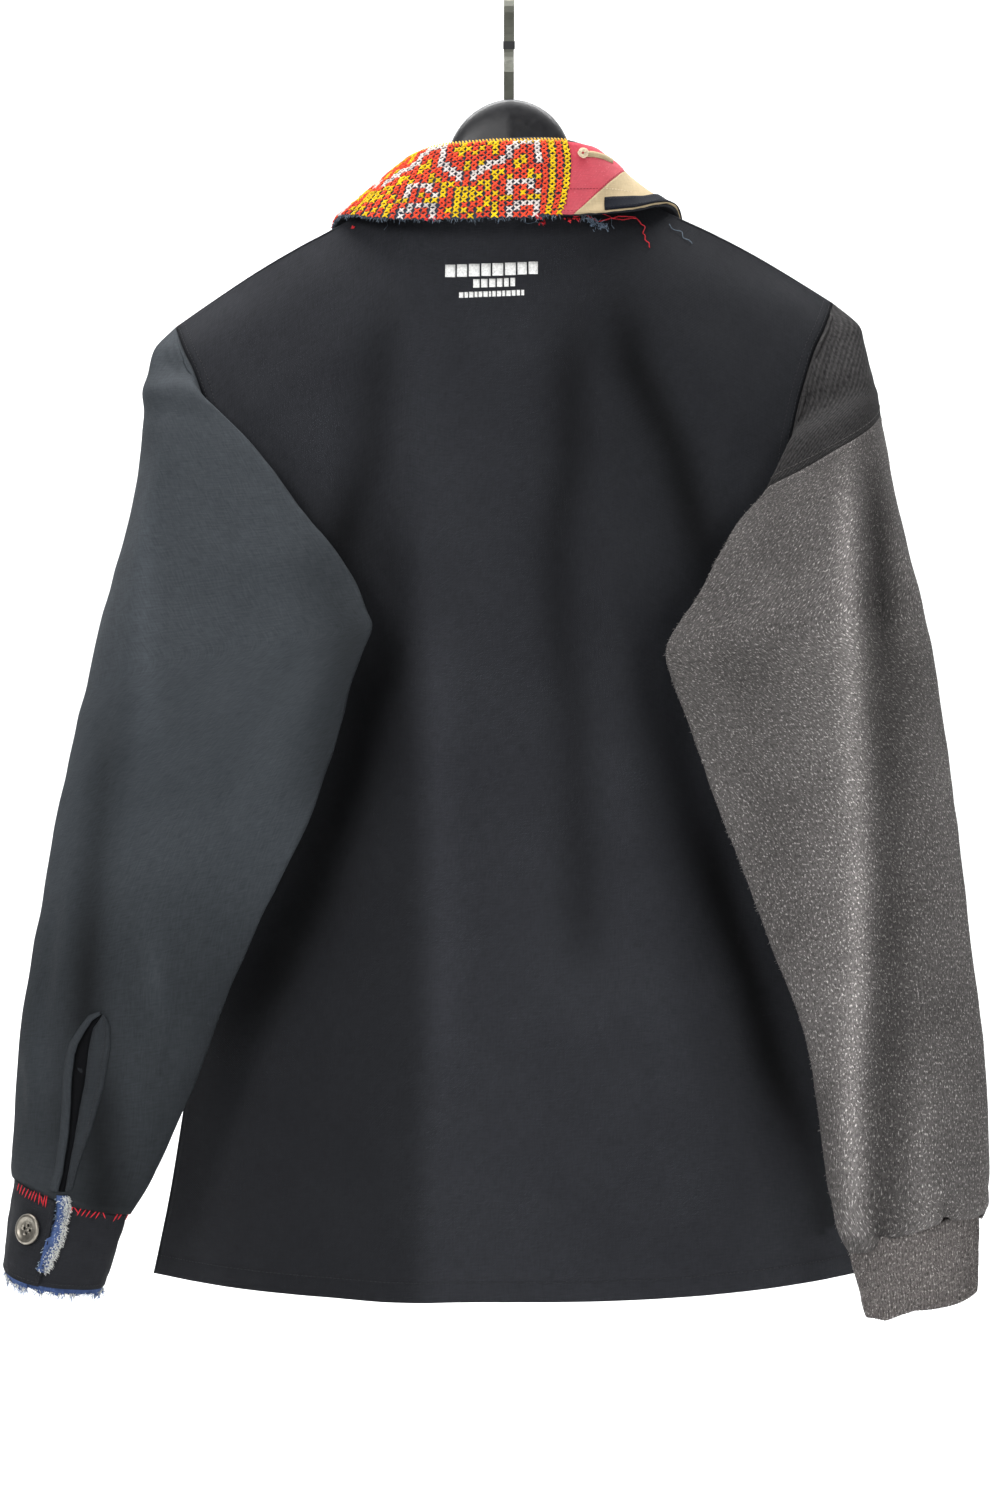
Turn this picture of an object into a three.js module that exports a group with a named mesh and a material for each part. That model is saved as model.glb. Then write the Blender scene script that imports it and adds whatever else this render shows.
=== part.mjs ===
// Patched work jacket with odd sleeves, hanging on a plastic hanger from a flat metal hook.
// Millimetres, +Z up. The wearer's back faces -Y and the wearer's right hand is at +X.
// The origin is the inside of the hook's bend, where the hook sits on its rail.
// Every cloth piece is a thin closed wall: a grid of outer points, and the same grid moved inwards.
import * as THREE from 'three';

// Driving dimensions
const thickness = {
  body: 1.6, sleeve: 1.6, rib: 2.2, collar: 1.8, cuff: 1.8, patch: 1.2, strip: 1.0, denimStrip: 0.8,
};
const seamGap = 0.3;          // between two pieces sewn edge to edge, and between stacked layers
const bodyOffset = -3;        // x of the jacket's centre line on its tilted hanger
const tilt = 0.036;           // rise of the shoulders per mm of x
const shoulderHalf = 226;     // centre line to shoulder point
const shoulderPointZ = -215;
const hemZ = -873;
const buttonCount = 6;
const firstButtonZ = -226;
const buttonPitch = 106;
const frontButton = { radius: 9, height: 2.8 };
const cuffButton = { radius: 10, height: 3.2, columnsFromEnd: 1.55, share: 0.4 };
const buttonClearance = 0.85; // a front button's back stands this far off the placket's base surface
const sleeveColumns = 26;

const point = (x, y, z) => new THREE.Vector3(x, y, z);
const mix = (a, b, t) => a + (b - a) * t;
const mixPoints = (a, b, t) => a.clone().lerp(b, t);
const clamp01 = (t) => Math.min(1, Math.max(0, t));
const smooth = (t) => clamp01(t) ** 2 * (3 - 2 * clamp01(t));
const mirrorX = (p) => point(-p.x, p.y, p.z);

// ---------------------------------------------------------------- walls

// Turns lists of points into one welded, outward-facing geometry; faces with no area are left out.
class Shell {
  constructor() {
    this.points = [];
    this.keys = new Map();
    this.faces = [];
  }

  index(p) {
    const key = [p.x, p.y, p.z].map((c) => Math.round(c * 500)).join(',');
    if (!this.keys.has(key)) {
      this.keys.set(key, this.points.length);
      this.points.push(p);
    }
    return this.keys.get(key);
  }

  triangle(a, b, c) {
    const corners = [a, b, c].map((p) => this.index(p));
    if (new Set(corners).size === 3) this.faces.push(corners);
  }

  quad(a, b, c, d, firstDiagonal = true) {
    if (firstDiagonal) {
      this.triangle(a, b, c);
      this.triangle(a, c, d);
    } else {
      this.triangle(a, b, d);
      this.triangle(b, c, d);
    }
  }

  volume() {
    let total = 0;
    for (const [a, b, c] of this.faces) {
      const normal = this.points[b].clone().cross(this.points[c]);
      total += this.points[a].dot(normal) / 6;
    }
    return total;
  }

  geometry() {
    const order = this.volume() < 0 ? [0, 2, 1] : [0, 1, 2];
    const geometry = new THREE.BufferGeometry();
    const numbers = this.points.flatMap((p) => [p.x, p.y, p.z]);
    geometry.setAttribute('position', new THREE.Float32BufferAttribute(numbers, 3));
    geometry.setIndex(this.faces.flatMap((face) => order.map((k) => face[k])));
    geometry.computeVertexNormals();
    return geometry;
  }
}

// A closed wall between two grids of points. Rows from closedFrom on join up into rings. Rims are split
// along the same diagonals on every piece, so that two facing rims stay parallel.
function wallBetween(outer, inner, closedFrom = Infinity) {
  const shell = new Shell();
  const last = outer.length - 1;
  const end = outer[0].length - 1;
  for (let i = 0; i < last; i++) {
    for (let j = 0; j < end; j++) {
      const [a, b, c, d] = [outer[i][j], outer[i][j + 1], outer[i + 1][j + 1], outer[i + 1][j]];
      const short = a.distanceTo(c) < b.distanceTo(d);
      shell.quad(a, b, c, d, short);
      const [e, f, g, h] = [inner[i][j], inner[i][j + 1], inner[i + 1][j + 1], inner[i + 1][j]];
      if (short) {
        shell.triangle(e, g, f);
        shell.triangle(e, h, g);
      } else {
        shell.triangle(e, h, f);
        shell.triangle(f, h, g);
      }
    }
  }
  for (let j = 0; j < end; j++) {
    shell.quad(outer[0][j + 1], outer[0][j], inner[0][j], inner[0][j + 1]);
    shell.quad(outer[last][j], outer[last][j + 1], inner[last][j + 1], inner[last][j], false);
  }
  for (let i = 0; i < Math.min(last, closedFrom); i++) {
    shell.quad(outer[i][0], outer[i + 1][0], inner[i + 1][0], inner[i][0]);
    shell.quad(outer[i + 1][end], outer[i][end], inner[i][end], inner[i + 1][end], false);
  }
  return shell.geometry();
}

// Normals of a grid. turn is 1 or -1 and picks the side; rings share their first and last column.
function gridNormals(grid, turn, closedFrom = Infinity) {
  const last = grid.length - 1;
  const end = grid[0].length - 1;
  return grid.map((row, i) => row.map((p, j) => {
    const ring = i >= closedFrom;
    const before = j > 0 ? row[j - 1] : (ring ? row[end - 1] : row[j]);
    const after = j < end ? row[j + 1] : (ring ? row[1] : row[j]);
    const above = grid[Math.max(0, i - 1)][j];
    const below = grid[Math.min(last, i + 1)][j];
    const across = after.clone().sub(before);
    const down = below.clone().sub(above);
    return across.cross(down).normalize().multiplyScalar(turn);
  }));
}

const moved = (grid, normals, distance) =>
  grid.map((row, i) => row.map((p, j) => p.clone().addScaledVector(normals[i][j], distance)));

// A piece lying on part of a panel: the panel's own points, moved out by the gap and the thickness.
function layerOn(panel, rows, columns, depth, under = 0) {
  const cut = (grid) => grid.slice(rows[0], rows[1] + 1)
    .map((row) => row.slice(columns[0], columns[1] + 1));
  const base = cut(panel.outer);
  const normals = cut(panel.normals);
  return wallBetween(moved(base, normals, under + seamGap + depth), moved(base, normals, under + seamGap));
}

// The y of a panel's outer surface at (x, z), or null beside it.
function depthAt(grid, x, z) {
  for (let i = 0; i < grid.length - 1; i++) {
    for (let j = 0; j < grid[0].length - 1; j++) {
      const [a, b, c, d] = [grid[i][j], grid[i][j + 1], grid[i + 1][j + 1], grid[i + 1][j]];
      for (const [p, q, r] of [[a, b, c], [a, c, d]]) {
        const area = (q.x - p.x) * (r.z - p.z) - (r.x - p.x) * (q.z - p.z);
        if (Math.abs(area) < 1e-6) continue;
        const s = ((x - p.x) * (r.z - p.z) - (r.x - p.x) * (z - p.z)) / area;
        const t = ((q.x - p.x) * (z - p.z) - (x - p.x) * (q.z - p.z)) / area;
        if (s >= -1e-6 && t >= -1e-6 && s + t <= 1 + 1e-6) return p.y + s * (q.y - p.y) + t * (r.y - p.y);
      }
    }
  }
  return null;
}

// ---------------------------------------------------------------- jacket body

// Rows from the shoulder point down to the hem, on the untilted half. The armhole runs from row 0 to
// armholeEnd and the side seam below it: half width and y of the back's edge and of the front's edge,
// then y of the back and front at the centre, and how far the shoulder's own shape has faded.
const armholeEnd = 11;
const bodyRows = [
  // z,  backHalf, backY, frontHalf, frontY, backCentre, frontCentre, backSettled, frontSettled
  [-215, 226, 15, 226, 15, -28, 75, 0, 0],
  [-234, 218, -6, 221, 32, -34, 75, 0.5, 0.12],
  [-252, 209, -18, 214, 42, -38, 75, 0.78, 0.26],
  [-275, 201, -27, 208, 50, -42, 75, 0.92, 0.45],
  [-297, 195, -33, 204, 55, -46, 75, 1, 0.62],
  [-321, 190, -38, 202, 58, -49, 75, 1, 0.78],
  [-346, 187, -41, 202, 59, -51, 75, 1, 0.9],
  [-371, 184, -42, 203, 57, -53, 74, 1, 1],
  [-396, 182, -41, 204, 50, -55, 74, 1, 1],
  [-419, 181, -38, 202, 38, -57, 73, 1, 1],
  [-440, 181, -33, 195, 14, -58, 73, 1, 1],
  [-458, 182, -24, 182, -24, -60, 73, 1, 1],
  [-498, 186, -16, 186, -16, -63, 72, 1, 1],
  [-548, 191, -10, 191, -10, -66, 72, 1, 1],
  [-603, 198, -5, 198, -5, -70, 71, 1, 1],
  [-658, 205, 0, 205, 0, -74, 71, 1, 1],
  [-713, 213, 4, 213, 4, -78, 71, 1, 1],
  [-766, 221, 8, 221, 8, -82, 71, 1, 1],
  [-815, 229, 10, 229, 10, -85, 72, 1, 1],
  [-850, 236, 11, 236, 11, -87, 72, 1, 1],
  [hemZ, 241, 12, 241, 12, -88, 72, 1, 1],
];

// Top edges from the shoulder point to the centre line, on the untilted half.
const shoulderSeam = [
  [shoulderHalf, 15, shoulderPointZ], [200, 10, -199], [170, 4, -181.5], [140, -1, -166], [108, -3, -150.5],
  [73, 0, -130],
];
const backNeck = [[58, -15, -135.5], [39, -24, -141], [20, -27, -144], [0, -28, -145]];
const frontNeck = [
  [76, 20, -140], [70, 42, -159], [55, 60, -179], [36, 70, -194], [17, 74, -202], [0, 75, -204],
];

// Long soft folds of the back: a path of (x, z), how far it stands in (+) or out (-), and its half width.
const backFolds = [
  {
    depth: 13,
    width: 24,
    path: [[-79, -219], [-88, -304], [-82, -414], [-98, -519], [-146, -606], [-189, -718]],
  },
  { depth: -7, width: 26, path: [[-47, -424], [-55, -553], [-60, -662], [-66, -771], [-66, -880]] },
  { depth: 7, width: 26, path: [[36, -219], [36, -416], [40, -599]] },
  { depth: -6, width: 26, path: [[72, -350], [86, -481], [99, -612], [125, -743]] },
  { depth: 10, width: 24, path: [[62, -206], [88, -263], [114, -328], [127, -380]] },
  {
    depth: 14,
    width: 26,
    path: [[86, -432], [118, -484], [138, -566], [164, -662], [192, -762], [214, -832]],
  },
];

function foldDepth(x, z) {
  let total = 0;
  for (const { depth, width, path } of backFolds) {
    for (let k = 0; k < path.length - 1; k++) {
      const [x0, z0] = path[k];
      const [x1, z1] = path[k + 1];
      if (z > z0 || z <= z1) continue;
      const along = (z0 - z) / (z0 - z1);
      const top = smooth((path[0][1] - z) / 60);
      const foot = smooth((z - path[path.length - 1][1]) / 60 + (path[path.length - 1][1] < hemZ ? 1 : 0));
      total += depth * top * foot * Math.exp(-(((x - mix(x0, x1, along)) / width) ** 2));
    }
  }
  return total;
}

const tilted = (x, z, amount = 1) => z + tilt * x * amount;
const rowFraction = (z) => (shoulderPointZ - z) / (shoulderPointZ - hemZ);

// One full panel from side to side. face is -1 for the back and 1 for the front.
function panelGrid(face, neck) {
  const half = [...shoulderSeam, ...neck];
  const top = [...half.map(([x, y, z]) => [-x, y, z]), ...half.slice(0, -1).reverse()];
  return bodyRows.map((values, i) => {
    const [rowZ, backHalf, backY, frontHalf, frontY] = values;
    const [backCentre, frontCentre, backSettled, frontSettled] = values.slice(5);
    const [edgeHalf, edgeY, centreY, settled] = face < 0
      ? [backHalf, backY, backCentre, backSettled]
      : [frontHalf, frontY, frontCentre, frontSettled];
    const down = rowFraction(rowZ);
    return top.map(([topX, topY, topZ], j) => {
      const spread = mix(topX / shoulderHalf, (2 * j) / (top.length - 1) - 1, smooth(down * 1.6));
      const x = spread * edgeHalf;
      const edgeShare = Math.abs(spread) ** 2.5;
      const hanging = topY + (edgeY - shoulderSeam[0][1]) * edgeShare;
      const y = mix(hanging, mix(centreY, edgeY, edgeShare), settled);
      const z = tilted(x, mix(topZ, hemZ, down), 1 - smooth(down));
      const fade = i === 0 ? 0 : smooth((1 - Math.abs(spread)) * 5);
      return point(x + bodyOffset, face < 0 ? y + foldDepth(x, z) * fade : y, z);
    });
  });
}

// Directions along the armhole seam, on the +X side: into the cloth's inside, and from body to sleeve.
const backSeamTurn = [45, 50, 80, 130, 170, 180, 180, 180, 180, 180, 180, 180];
const frontSeamTurn = [-45, -50, -55, -60, -60, -60, -55, -50, -40, -20, 0, 0];

function seamDirections(i, face, side) {
  if (i === 0) return { into: point(-0.7 * side, 0, -0.7), across: point(0.7 * side, 0, -0.7) };
  const degrees = face < 0 ? 180 - backSeamTurn[i] : 180 - frontSeamTurn[i];
  const angle = THREE.MathUtils.degToRad(degrees);
  const into = point(Math.cos(angle) * side, Math.sin(angle), 0);
  const turn = face < 0 ? 1 : -1;
  const across = point(Math.sin(angle) * side * turn, -Math.cos(angle) * turn, 0);
  if (i === armholeEnd) return { into: point(-0.3 * side, 0, 0.95), across: point(0.5 * side, -0.86, 0) };
  return { into, across };
}

// Inner points of a body panel; seam edges point to where the neighbour's inner edge also points.
function bodyPanel(grid, face) {
  const normals = gridNormals(grid, face < 0 ? -1 : 1);
  const end = grid[0].length - 1;
  const into = normals.map((row, i) => row.map((n, j) => {
    if (j !== 0 && j !== end) return i === 0 ? point(0, 0, -1) : n.clone().multiplyScalar(-1);
    const side = j === 0 ? -1 : 1;
    return i <= armholeEnd ? seamDirections(i, face, side).into : point(-side, 0, 0);
  }));
  const outer = grid.map((row, i) => row.map((p, j) => {
    const seam = i === 0 || ((j === 0 || j === end) && i >= armholeEnd);
    return seam ? p.clone().add(point(0, face * seamGap / 2, 0)) : p.clone();
  }));
  return { outer, normals, inner: moved(outer, into, thickness.body) };
}

const backGrid = panelGrid(-1, backNeck);
const frontGrid = panelGrid(1, frontNeck);
const back = bodyPanel(backGrid, -1);
const front = bodyPanel(frontGrid, 1);

// Each front is the front panel up to one column past the centre; the wearer's right one lies under.
const centreColumn = (frontGrid[0].length - 1) / 2;
const underLap = 3.4;

function frontHalf(side) {
  const pick = (row) => {
    const kept = side < 0 ? row.slice(0, centreColumn + 2) : row.slice(centreColumn - 1);
    return kept.map((p) => {
      const lap = side > 0 ? underLap * smooth((45 - (p.x - bodyOffset)) / 26) : 0;
      return p.clone().add(point(0, -lap, 0));
    });
  };
  return { outer: front.outer.map(pick), inner: front.inner.map(pick) };
}

// ---------------------------------------------------------------- sleeves

// Sections of each sleeve from the shoulder point to the cuff seam: the outer edge, the inner fold edge
// (null where the armhole seam itself is that edge), half the flat tube's depth, and where its crest lies
// between the inner edge (0) and the outer edge (1).
const leftSleeveRows = [
  // outX, outY, outZ, inX, inY, inZ, half, crest
  [-235, 12, -241, null, 0, 0, 16, 0.5],
  [-238, 8, -259, null, 0, 0, 22, 0.55],
  [-240, 2, -278, -203, -42, -272, 24, 0.6],
  [-242, -5, -300, -186, -54, -294, 26, 0.64],
  [-247, -12, -320, -168, -62, -315, 27, 0.66],
  [-253, -20, -345, -149, -69, -340, 28, 0.68],
  [-259, -28, -373, -130, -75, -364, 29, 0.7],
  [-265, -35, -400, -114, -80, -384, 29, 0.72],
  [-271, -41, -425, -101, -82, -404, 29, 0.76],
  [-276, -46, -447, -93, -88, -422, 28, 0.77],
  [-280, -50, -471, -89, -92, -434, 27, 0.78],
  [-286, -53, -495, -94, -94, -448, 26, 0.78],
  [-292, -57, -526, -102, -96, -471, 26, 0.76],
  [-300, -60, -564, -111, -97, -507, 26, 0.72],
  [-306, -62, -600, -126, -97, -550, 27, 0.66],
  [-312, -63, -633, -144, -96, -589, 27, 0.6],
  [-317, -63, -669, -163, -94, -627, 27, 0.55],
  [-322, -62, -700, -181, -90, -670, 28, 0.5],
  [-325, -62, -730, -196, -86, -707, 28, 0.5],
  [-326, -62, -758, -210, -80, -742, 29, 0.5],
  [-327, -62, -778, -229, -75, -784, 31, 0.5],
  [-327, -62, -793, -249, -72, -817, 33, 0.5],
];
const rightSleeveRows = [
  [232, 14, -222, null, 0, 0, 16, 0.5],
  [238, 12, -236, null, 0, 0, 20, 0.55],
  [241, 8, -249, null, 0, 0, 24, 0.58],
  [244, 4, -260, null, 0, 0, 27, 0.6],
  [246, 0, -270, 181, -54, -311, 28, 0.62],
  [249, -5, -281, 169, -62, -341, 29, 0.64],
  [254, -14, -306, 152, -69, -362, 30, 0.66],
  [258, -24, -334, 140, -76, -383, 30, 0.68],
  [263, -33, -363, 126, -82, -409, 29, 0.7],
  [269, -41, -393, 112, -86, -429, 28, 0.7],
  [274, -47, -420, 102, -92, -447, 27, 0.7],
  [279, -52, -448, 105, -94, -466, 27, 0.7],
  [284, -56, -482, 115, -96, -493, 27, 0.68],
  [290, -59, -521, 127, -97, -527, 27, 0.66],
  [295, -62, -557, 140, -97, -563, 27, 0.62],
  [300, -62, -600, 153, -97, -598, 27, 0.58],
  [304, -62, -639, 167, -96, -632, 27, 0.52],
  [309, -62, -679, 182, -94, -669, 28, 0.44],
  [313, -62, -712, 193, -90, -705, 28, 0.38],
  [316, -62, -758, 202, -86, -749, 29, 0.34],
  [316, -62, -798, 209, -80, -804, 30, 0.34],
  [309, -64, -819, 225, -76, -838, 27, 0.4],
];
const capRow = 6;             // the sweatshirt's drop-shoulder seam lies on this row of the right sleeve
const closedRow = armholeEnd; // from here down a sleeve's rows are whole rings
const foldTurn = 17;          // by this row the underarm seam has come round to the inner fold edge

// A point of the flat tube's section. Angle 0 is the inner fold edge and pi the outer edge, by way of
// the back.
function sectionPoint(section, angle) {
  const [outX, outY, outZ, inX, inY, inZ, half, crest] = section;
  const across = (1 - Math.cos(angle)) / 2;
  const width = Math.hypot(outX - inX, outY - inY);
  const side = Math.sign(outX - inX);
  const normal = { x: ((outY - inY) / width) * side, y: -Math.abs(outX - inX) / width };
  const bend = Math.log(0.5) / Math.log(crest);
  const nearSide = Math.sin(angle) >= 0;
  const crested = Math.max(0, Math.sin(Math.PI * across ** bend)) ** 0.8;
  const height = nearSide ? mix(crested, Math.sin(angle), 0.3) : Math.sin(angle);
  return point(
    mix(inX, outX, across) + normal.x * half * height,
    mix(inY, outY, across) + normal.y * half * height,
    mix(inZ, outZ, across),
  );
}

function sectionAngle(section, x) {
  const across = Math.min(0.9, Math.max(0.015, (x - section[3]) / (section[0] - section[3])));
  return Math.acos(1 - 2 * across);
}

// All rows of one sleeve, row 0 gathered at the shoulder point. side is -1 for the wearer's left.
function sleeveGrid(side, rows) {
  const seamPoint = (panel, i, face) => panel[i][side < 0 ? 0 : panel[i].length - 1].clone()
    .addScaledVector(seamDirections(i, face, side).across, seamGap);
  const start = seamPoint(backGrid, 0, -1);
  const grid = [Array.from({ length: sleeveColumns + 1 }, () => start.clone())];
  let underarmAngle = 0;
  rows.forEach((values, k) => {
    const i = k + 1;
    const section = [...values];
    const onArmhole = i <= armholeEnd;
    const from = onArmhole ? seamPoint(backGrid, i, -1) : null;
    const to = onArmhole ? seamPoint(frontGrid, i, 1) : null;
    if (i === armholeEnd) to.copy(from);
    if (section[3] === null) [section[3], section[4], section[5]] = [from.x, from.y, from.z];
    const turned = smooth((i - armholeEnd) / (foldTurn - armholeEnd));
    const first = onArmhole ? -sectionAngle(section, from.x) : -underarmAngle * (1 - turned);
    const open = onArmhole && i < armholeEnd;
    const last = open ? 2 * Math.PI - sectionAngle(section, to.x) : first + 2 * Math.PI;
    if (i === armholeEnd) underarmAngle = -first;
    const row = [];
    for (let j = 0; j <= sleeveColumns; j++) {
      const u = j / sleeveColumns;
      const p = sectionPoint(section, mix(first, last, u));
      if (onArmhole) {
        const near = (1 - clamp01(u / 0.22)) ** 2;
        const far = (1 - clamp01((1 - u) / 0.32)) ** 2;
        p.add(from.clone().sub(sectionPoint(section, first)).multiplyScalar(near));
        p.add(to.clone().sub(sectionPoint(section, last)).multiplyScalar(far));
      }
      row.push(p);
    }
    grid.push(row);
  });
  return clearOfBack(grid);
}

// Where a sleeve lies behind the back panel it stays this far off it, growing away from the seam.
const sleeveClearance = 4;

function clearOfBack(grid) {
  grid.forEach((row, i) => row.forEach((p, j) => {
    const fromSeam = Math.min(j, i > closedRow ? sleeveColumns : sleeveColumns - j);
    if (i === 0 || (i <= closedRow && fromSeam === 0) || p.y > 0) return;
    const surface = [0, 4, 8, 12].map((inset) => depthAt(backGrid, p.x - Math.sign(p.x) * inset, p.z))
      .find((y) => y !== null);
    if (surface === undefined) return;
    if (j < sleeveColumns * 0.75 || i >= closedRow) p.y = Math.min(p.y, surface - sleeveClearance);
  }));
  for (let i = closedRow; i < grid.length; i++) grid[i][sleeveColumns] = grid[i][0].clone();
  return grid;
}

function sleeveInto(grid, side) {
  const normals = gridNormals(grid, side < 0 ? -1 : 1, closedRow);
  return normals.map((row, i) => row.map((n, j) => {
    if (i === 0) return seamDirections(0, -1, side).into;
    if (i <= armholeEnd && (j === 0 || j === sleeveColumns)) {
      return seamDirections(i, j === 0 ? -1 : 1, side).into;
    }
    return n;
  }));
}

function sleevePanel(side, rows) {
  const outer = sleeveGrid(side, rows);
  const into = sleeveInto(outer, side);
  const normals = into.map((row) => row.map((n) => n.clone().negate()));
  return { outer, normals, inner: moved(outer, into, thickness.sleeve) };
}

// The bound slit above the left cuff: the rows and columns of the sleeve that it lies on.
const placket = { rows: [17, 22], columns: [7, 8] };

const leftSleeve = sleevePanel(-1, leftSleeveRows);
const rightSleeve = sleevePanel(1, rightSleeveRows);

// Rows of a panel as a piece of its own; a cut edge draws back by the seam gap.
function rowsOf(panel, firstRow, lastRow) {
  const atTop = (i) => i === firstRow && firstRow > 0;
  const atFoot = (i) => i === lastRow && lastRow < panel.outer.length - 1;
  const drawn = (grid) => grid.map((row, i) => row.map((p) => {
    if (!atTop(i) && !atFoot(i)) return p.clone();
    return p.clone().add(point(0, 0, atTop(i) ? -seamGap : seamGap));
  })).slice(firstRow, lastRow + 1);
  return wallBetween(drawn(panel.outer), drawn(panel.inner), closedRow - firstRow);
}

// ---------------------------------------------------------------- cuffs

// A ring of points on the same flat section as a sleeve's end.
function ringRow(section, columns, firstAngle, turn = 2 * Math.PI) {
  return Array.from({ length: columns + 1 }, (_, j) =>
    sectionPoint(section, firstAngle + (turn * j) / columns));
}

const mixRows = (a, b, t) => a.map((value, k) => mix(value, b[k], t));

const leftCuff = {
  top: leftSleeveRows[leftSleeveRows.length - 1],
  foot: [-334, -60, -849, -266, -76, -866, 38, 0.5],
  columns: 30,
  lapEdge: 1.58,             // angle of the upper end's edge, where the denim strip shows
  lapSlant: 0.18,            // by how much that angle falls from the cuff's top to its foot
  lapColumns: 2,             // columns by which the two ends of the cuff pass each other
  lapRise: 3.2,
};
const lapStep = (2 * Math.PI) / (leftCuff.columns - leftCuff.lapColumns);

function cuffLap() {
  const { top, foot, columns, lapEdge, lapSlant, lapColumns, lapRise } = leftCuff;
  const outer = [0, 0.34, 0.67, 1].map((t) => {
    const section = mixRows(top, foot, t);
    const start = lapEdge - lapSlant * t + lapColumns * lapStep;
    const row = ringRow(section, columns, start, -columns * lapStep);
    const centre = point((section[0] + section[3]) / 2, (section[1] + section[4]) / 2, 0);
    return row.map((p, j) => {
      const rise = lapRise * smooth((j / columns - 0.8) / 0.12) - lapRise * 0.3;
      const away = point(p.x - centre.x, p.y - centre.y, 0).setLength(rise);
      const drop = t === 0 ? seamGap : 0;
      return p.clone().add(away).add(point(0, 0, -drop));
    });
  });
  const normals = gridNormals(outer, -1);
  return { outer, normals, inner: moved(outer, normals, -thickness.cuff) };
}

// Denim inside the cuff, hanging out below its edge; it stops short of the lap.
const facing = { firstRow: 1, stopShort: 4, drop: 4 };

function cuffFacing() {
  const kept = leftCuff.columns - facing.stopShort;
  const lowest = lapCuff.inner[lapCuff.inner.length - 1];
  const below = lowest.map((p) => p.clone().add(point(0, 0, -facing.drop)));
  const base = [...lapCuff.inner.slice(facing.firstRow), below].map((row) => row.slice(0, kept + 1));
  const rows = lapCuff.normals.slice(facing.firstRow);
  const normals = [...rows, rows[rows.length - 1]];
  return wallBetween(moved(base, normals, -seamGap), moved(base, normals, -seamGap - thickness.strip));
}

const ribCuff = {
  top: rightSleeveRows[rightSleeveRows.length - 1],
  foot: [308, -64, -870, 240, -76, -885, 27, 0.5],
};

const lapCuff = cuffLap();

// A point on the left cuff's outer side, and the way out there, by column and share of the height.
function onLeftCuff(column, height) {
  const row = height * (lapCuff.outer.length - 1);
  const [i, j] = [Math.floor(row), Math.floor(column)];
  const blend = (grid) => mixPoints(
    mixPoints(grid[i][j], grid[i][j + 1], column - j),
    mixPoints(grid[i + 1][j], grid[i + 1][j + 1], column - j),
    row - i,
  );
  return { at: blend(lapCuff.outer), out: blend(lapCuff.normals).normalize() };
}

function ribTube() {
  const { top, foot } = ribCuff;
  const outer = [0, 0.3, 0.65, 1].map((t) => {
    const row = ringRow(mixRows(top, foot, t), sleeveColumns, 0);
    row[sleeveColumns] = row[0].clone();
    return row.map((p) => p.clone().add(point(0, 0, t === 0 ? -seamGap : 0)));
  });
  const into = gridNormals(outer, 1, 0);
  return wallBetween(outer, moved(outer, into, thickness.rib), 0);
}

// ---------------------------------------------------------------- collar

// Stations round the neck from the back's middle to the front end, on the untilted half.
const collarStations = [
  // fold line      fall's edge
  [[0, -35, -104], [0, -50, -160.5]],
  [[35, -31, -104.5], [48, -47, -159.5]],
  [[55, -16, -107.5], [86, -34, -155]],
  [[63, 4, -114.5], [113, -2, -147.5]],
  [[64, 24, -124], [119, 27, -166]],
  [[55, 48, -139], [110, 55, -202]],
  [[33, 70, -158], [92, 73, -234]],
  [[8, 84, -174], [76, 81, -256]],
];
// Grid columns: place along the fold line and along the fall's edge, in stations, minus for the left half.
const collarColumns = [
  [-7, -7], [-6.5, -6.5], [-6, -6], [-5.5, -5.5], [-5, -5], [-4.5, -4.5], [-4, -4], [-3.5, -3.5], [-3, -3],
  [-2.5, -2.5], [-2, -2], [-1.5, -1.5], [-1, -1], [-0.5, -0.5], [0, 0], [0.5, 0.4], [1.05, 0.72],
  [1.8, 0.82], [2.6, 1.02], [3, 1.5], [3.4, 2], [3.8, 2.55], [4.2, 3.2], [4.7, 4], [5.2, 4.8], [5.8, 5.6],
  [6.4, 6.4], [7, 7],
];
const embroideredEnd = 16;    // column where the embroidered panel meets the red one
const redEnd = 18;            // column where the red one meets the cream one
const blackStart = 19;
const collarFallRows = [0, 0.09, 0.3, 0.55, 0.78, 1];
const blackRow = 4;

const collarCurves = [0, 1].map((which) => {
  const half = collarStations.map((station) => point(...station[which]));
  const whole = [...half.slice(1).reverse().map(mirrorX), ...half];
  return new THREE.CatmullRomCurve3(whole, false, 'centripetal');
});
const collarPoint = (which, place) => {
  const p = collarCurves[which].getPoint((place + 7) / 14);
  return point(p.x + bodyOffset * 0.6, p.y, p.z + tilt * p.x);
};

function outwardFromNeck(p) {
  return point(p.x - bodyOffset * 0.6, (p.y - 20) * 1.1, 0).normalize();
}

function collarFall() {
  const outer = collarFallRows.map((t) => collarColumns.map(([foldPlace, edgePlace]) => {
    const crest = collarPoint(0, foldPlace);
    const lower = collarPoint(1, mix(foldPlace, edgePlace, t));
    const away = outwardFromNeck(crest);
    if (t === 0) return crest.clone().addScaledVector(away, -1.6);
    const p = mixPoints(crest, lower, t);
    const swell = 5 * Math.sin(Math.PI * Math.sqrt(t)) + 1.5;
    return p.addScaledVector(away, swell);
  }));
  const normals = gridNormals(outer, 1).map((row) => row.map((n) => n.negate()));
  const into = normals.map((row, i) => row.map((n) => (i === 0 ? point(0, 0, -1) : n.clone().negate())));
  return { outer, normals, inner: moved(outer, into, thickness.collar) };
}

// The stand rises from the neck seam's own points; each has its place along the fold line.
const backNeckPlaces = [0, 0.55, 1.1, 1.9, 3];
const frontNeckPlaces = [4, 4.9, 5.6, 6.2, 6.7];
const standDrop = 1.1;        // room between the stand's top and the fall's underside

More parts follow.
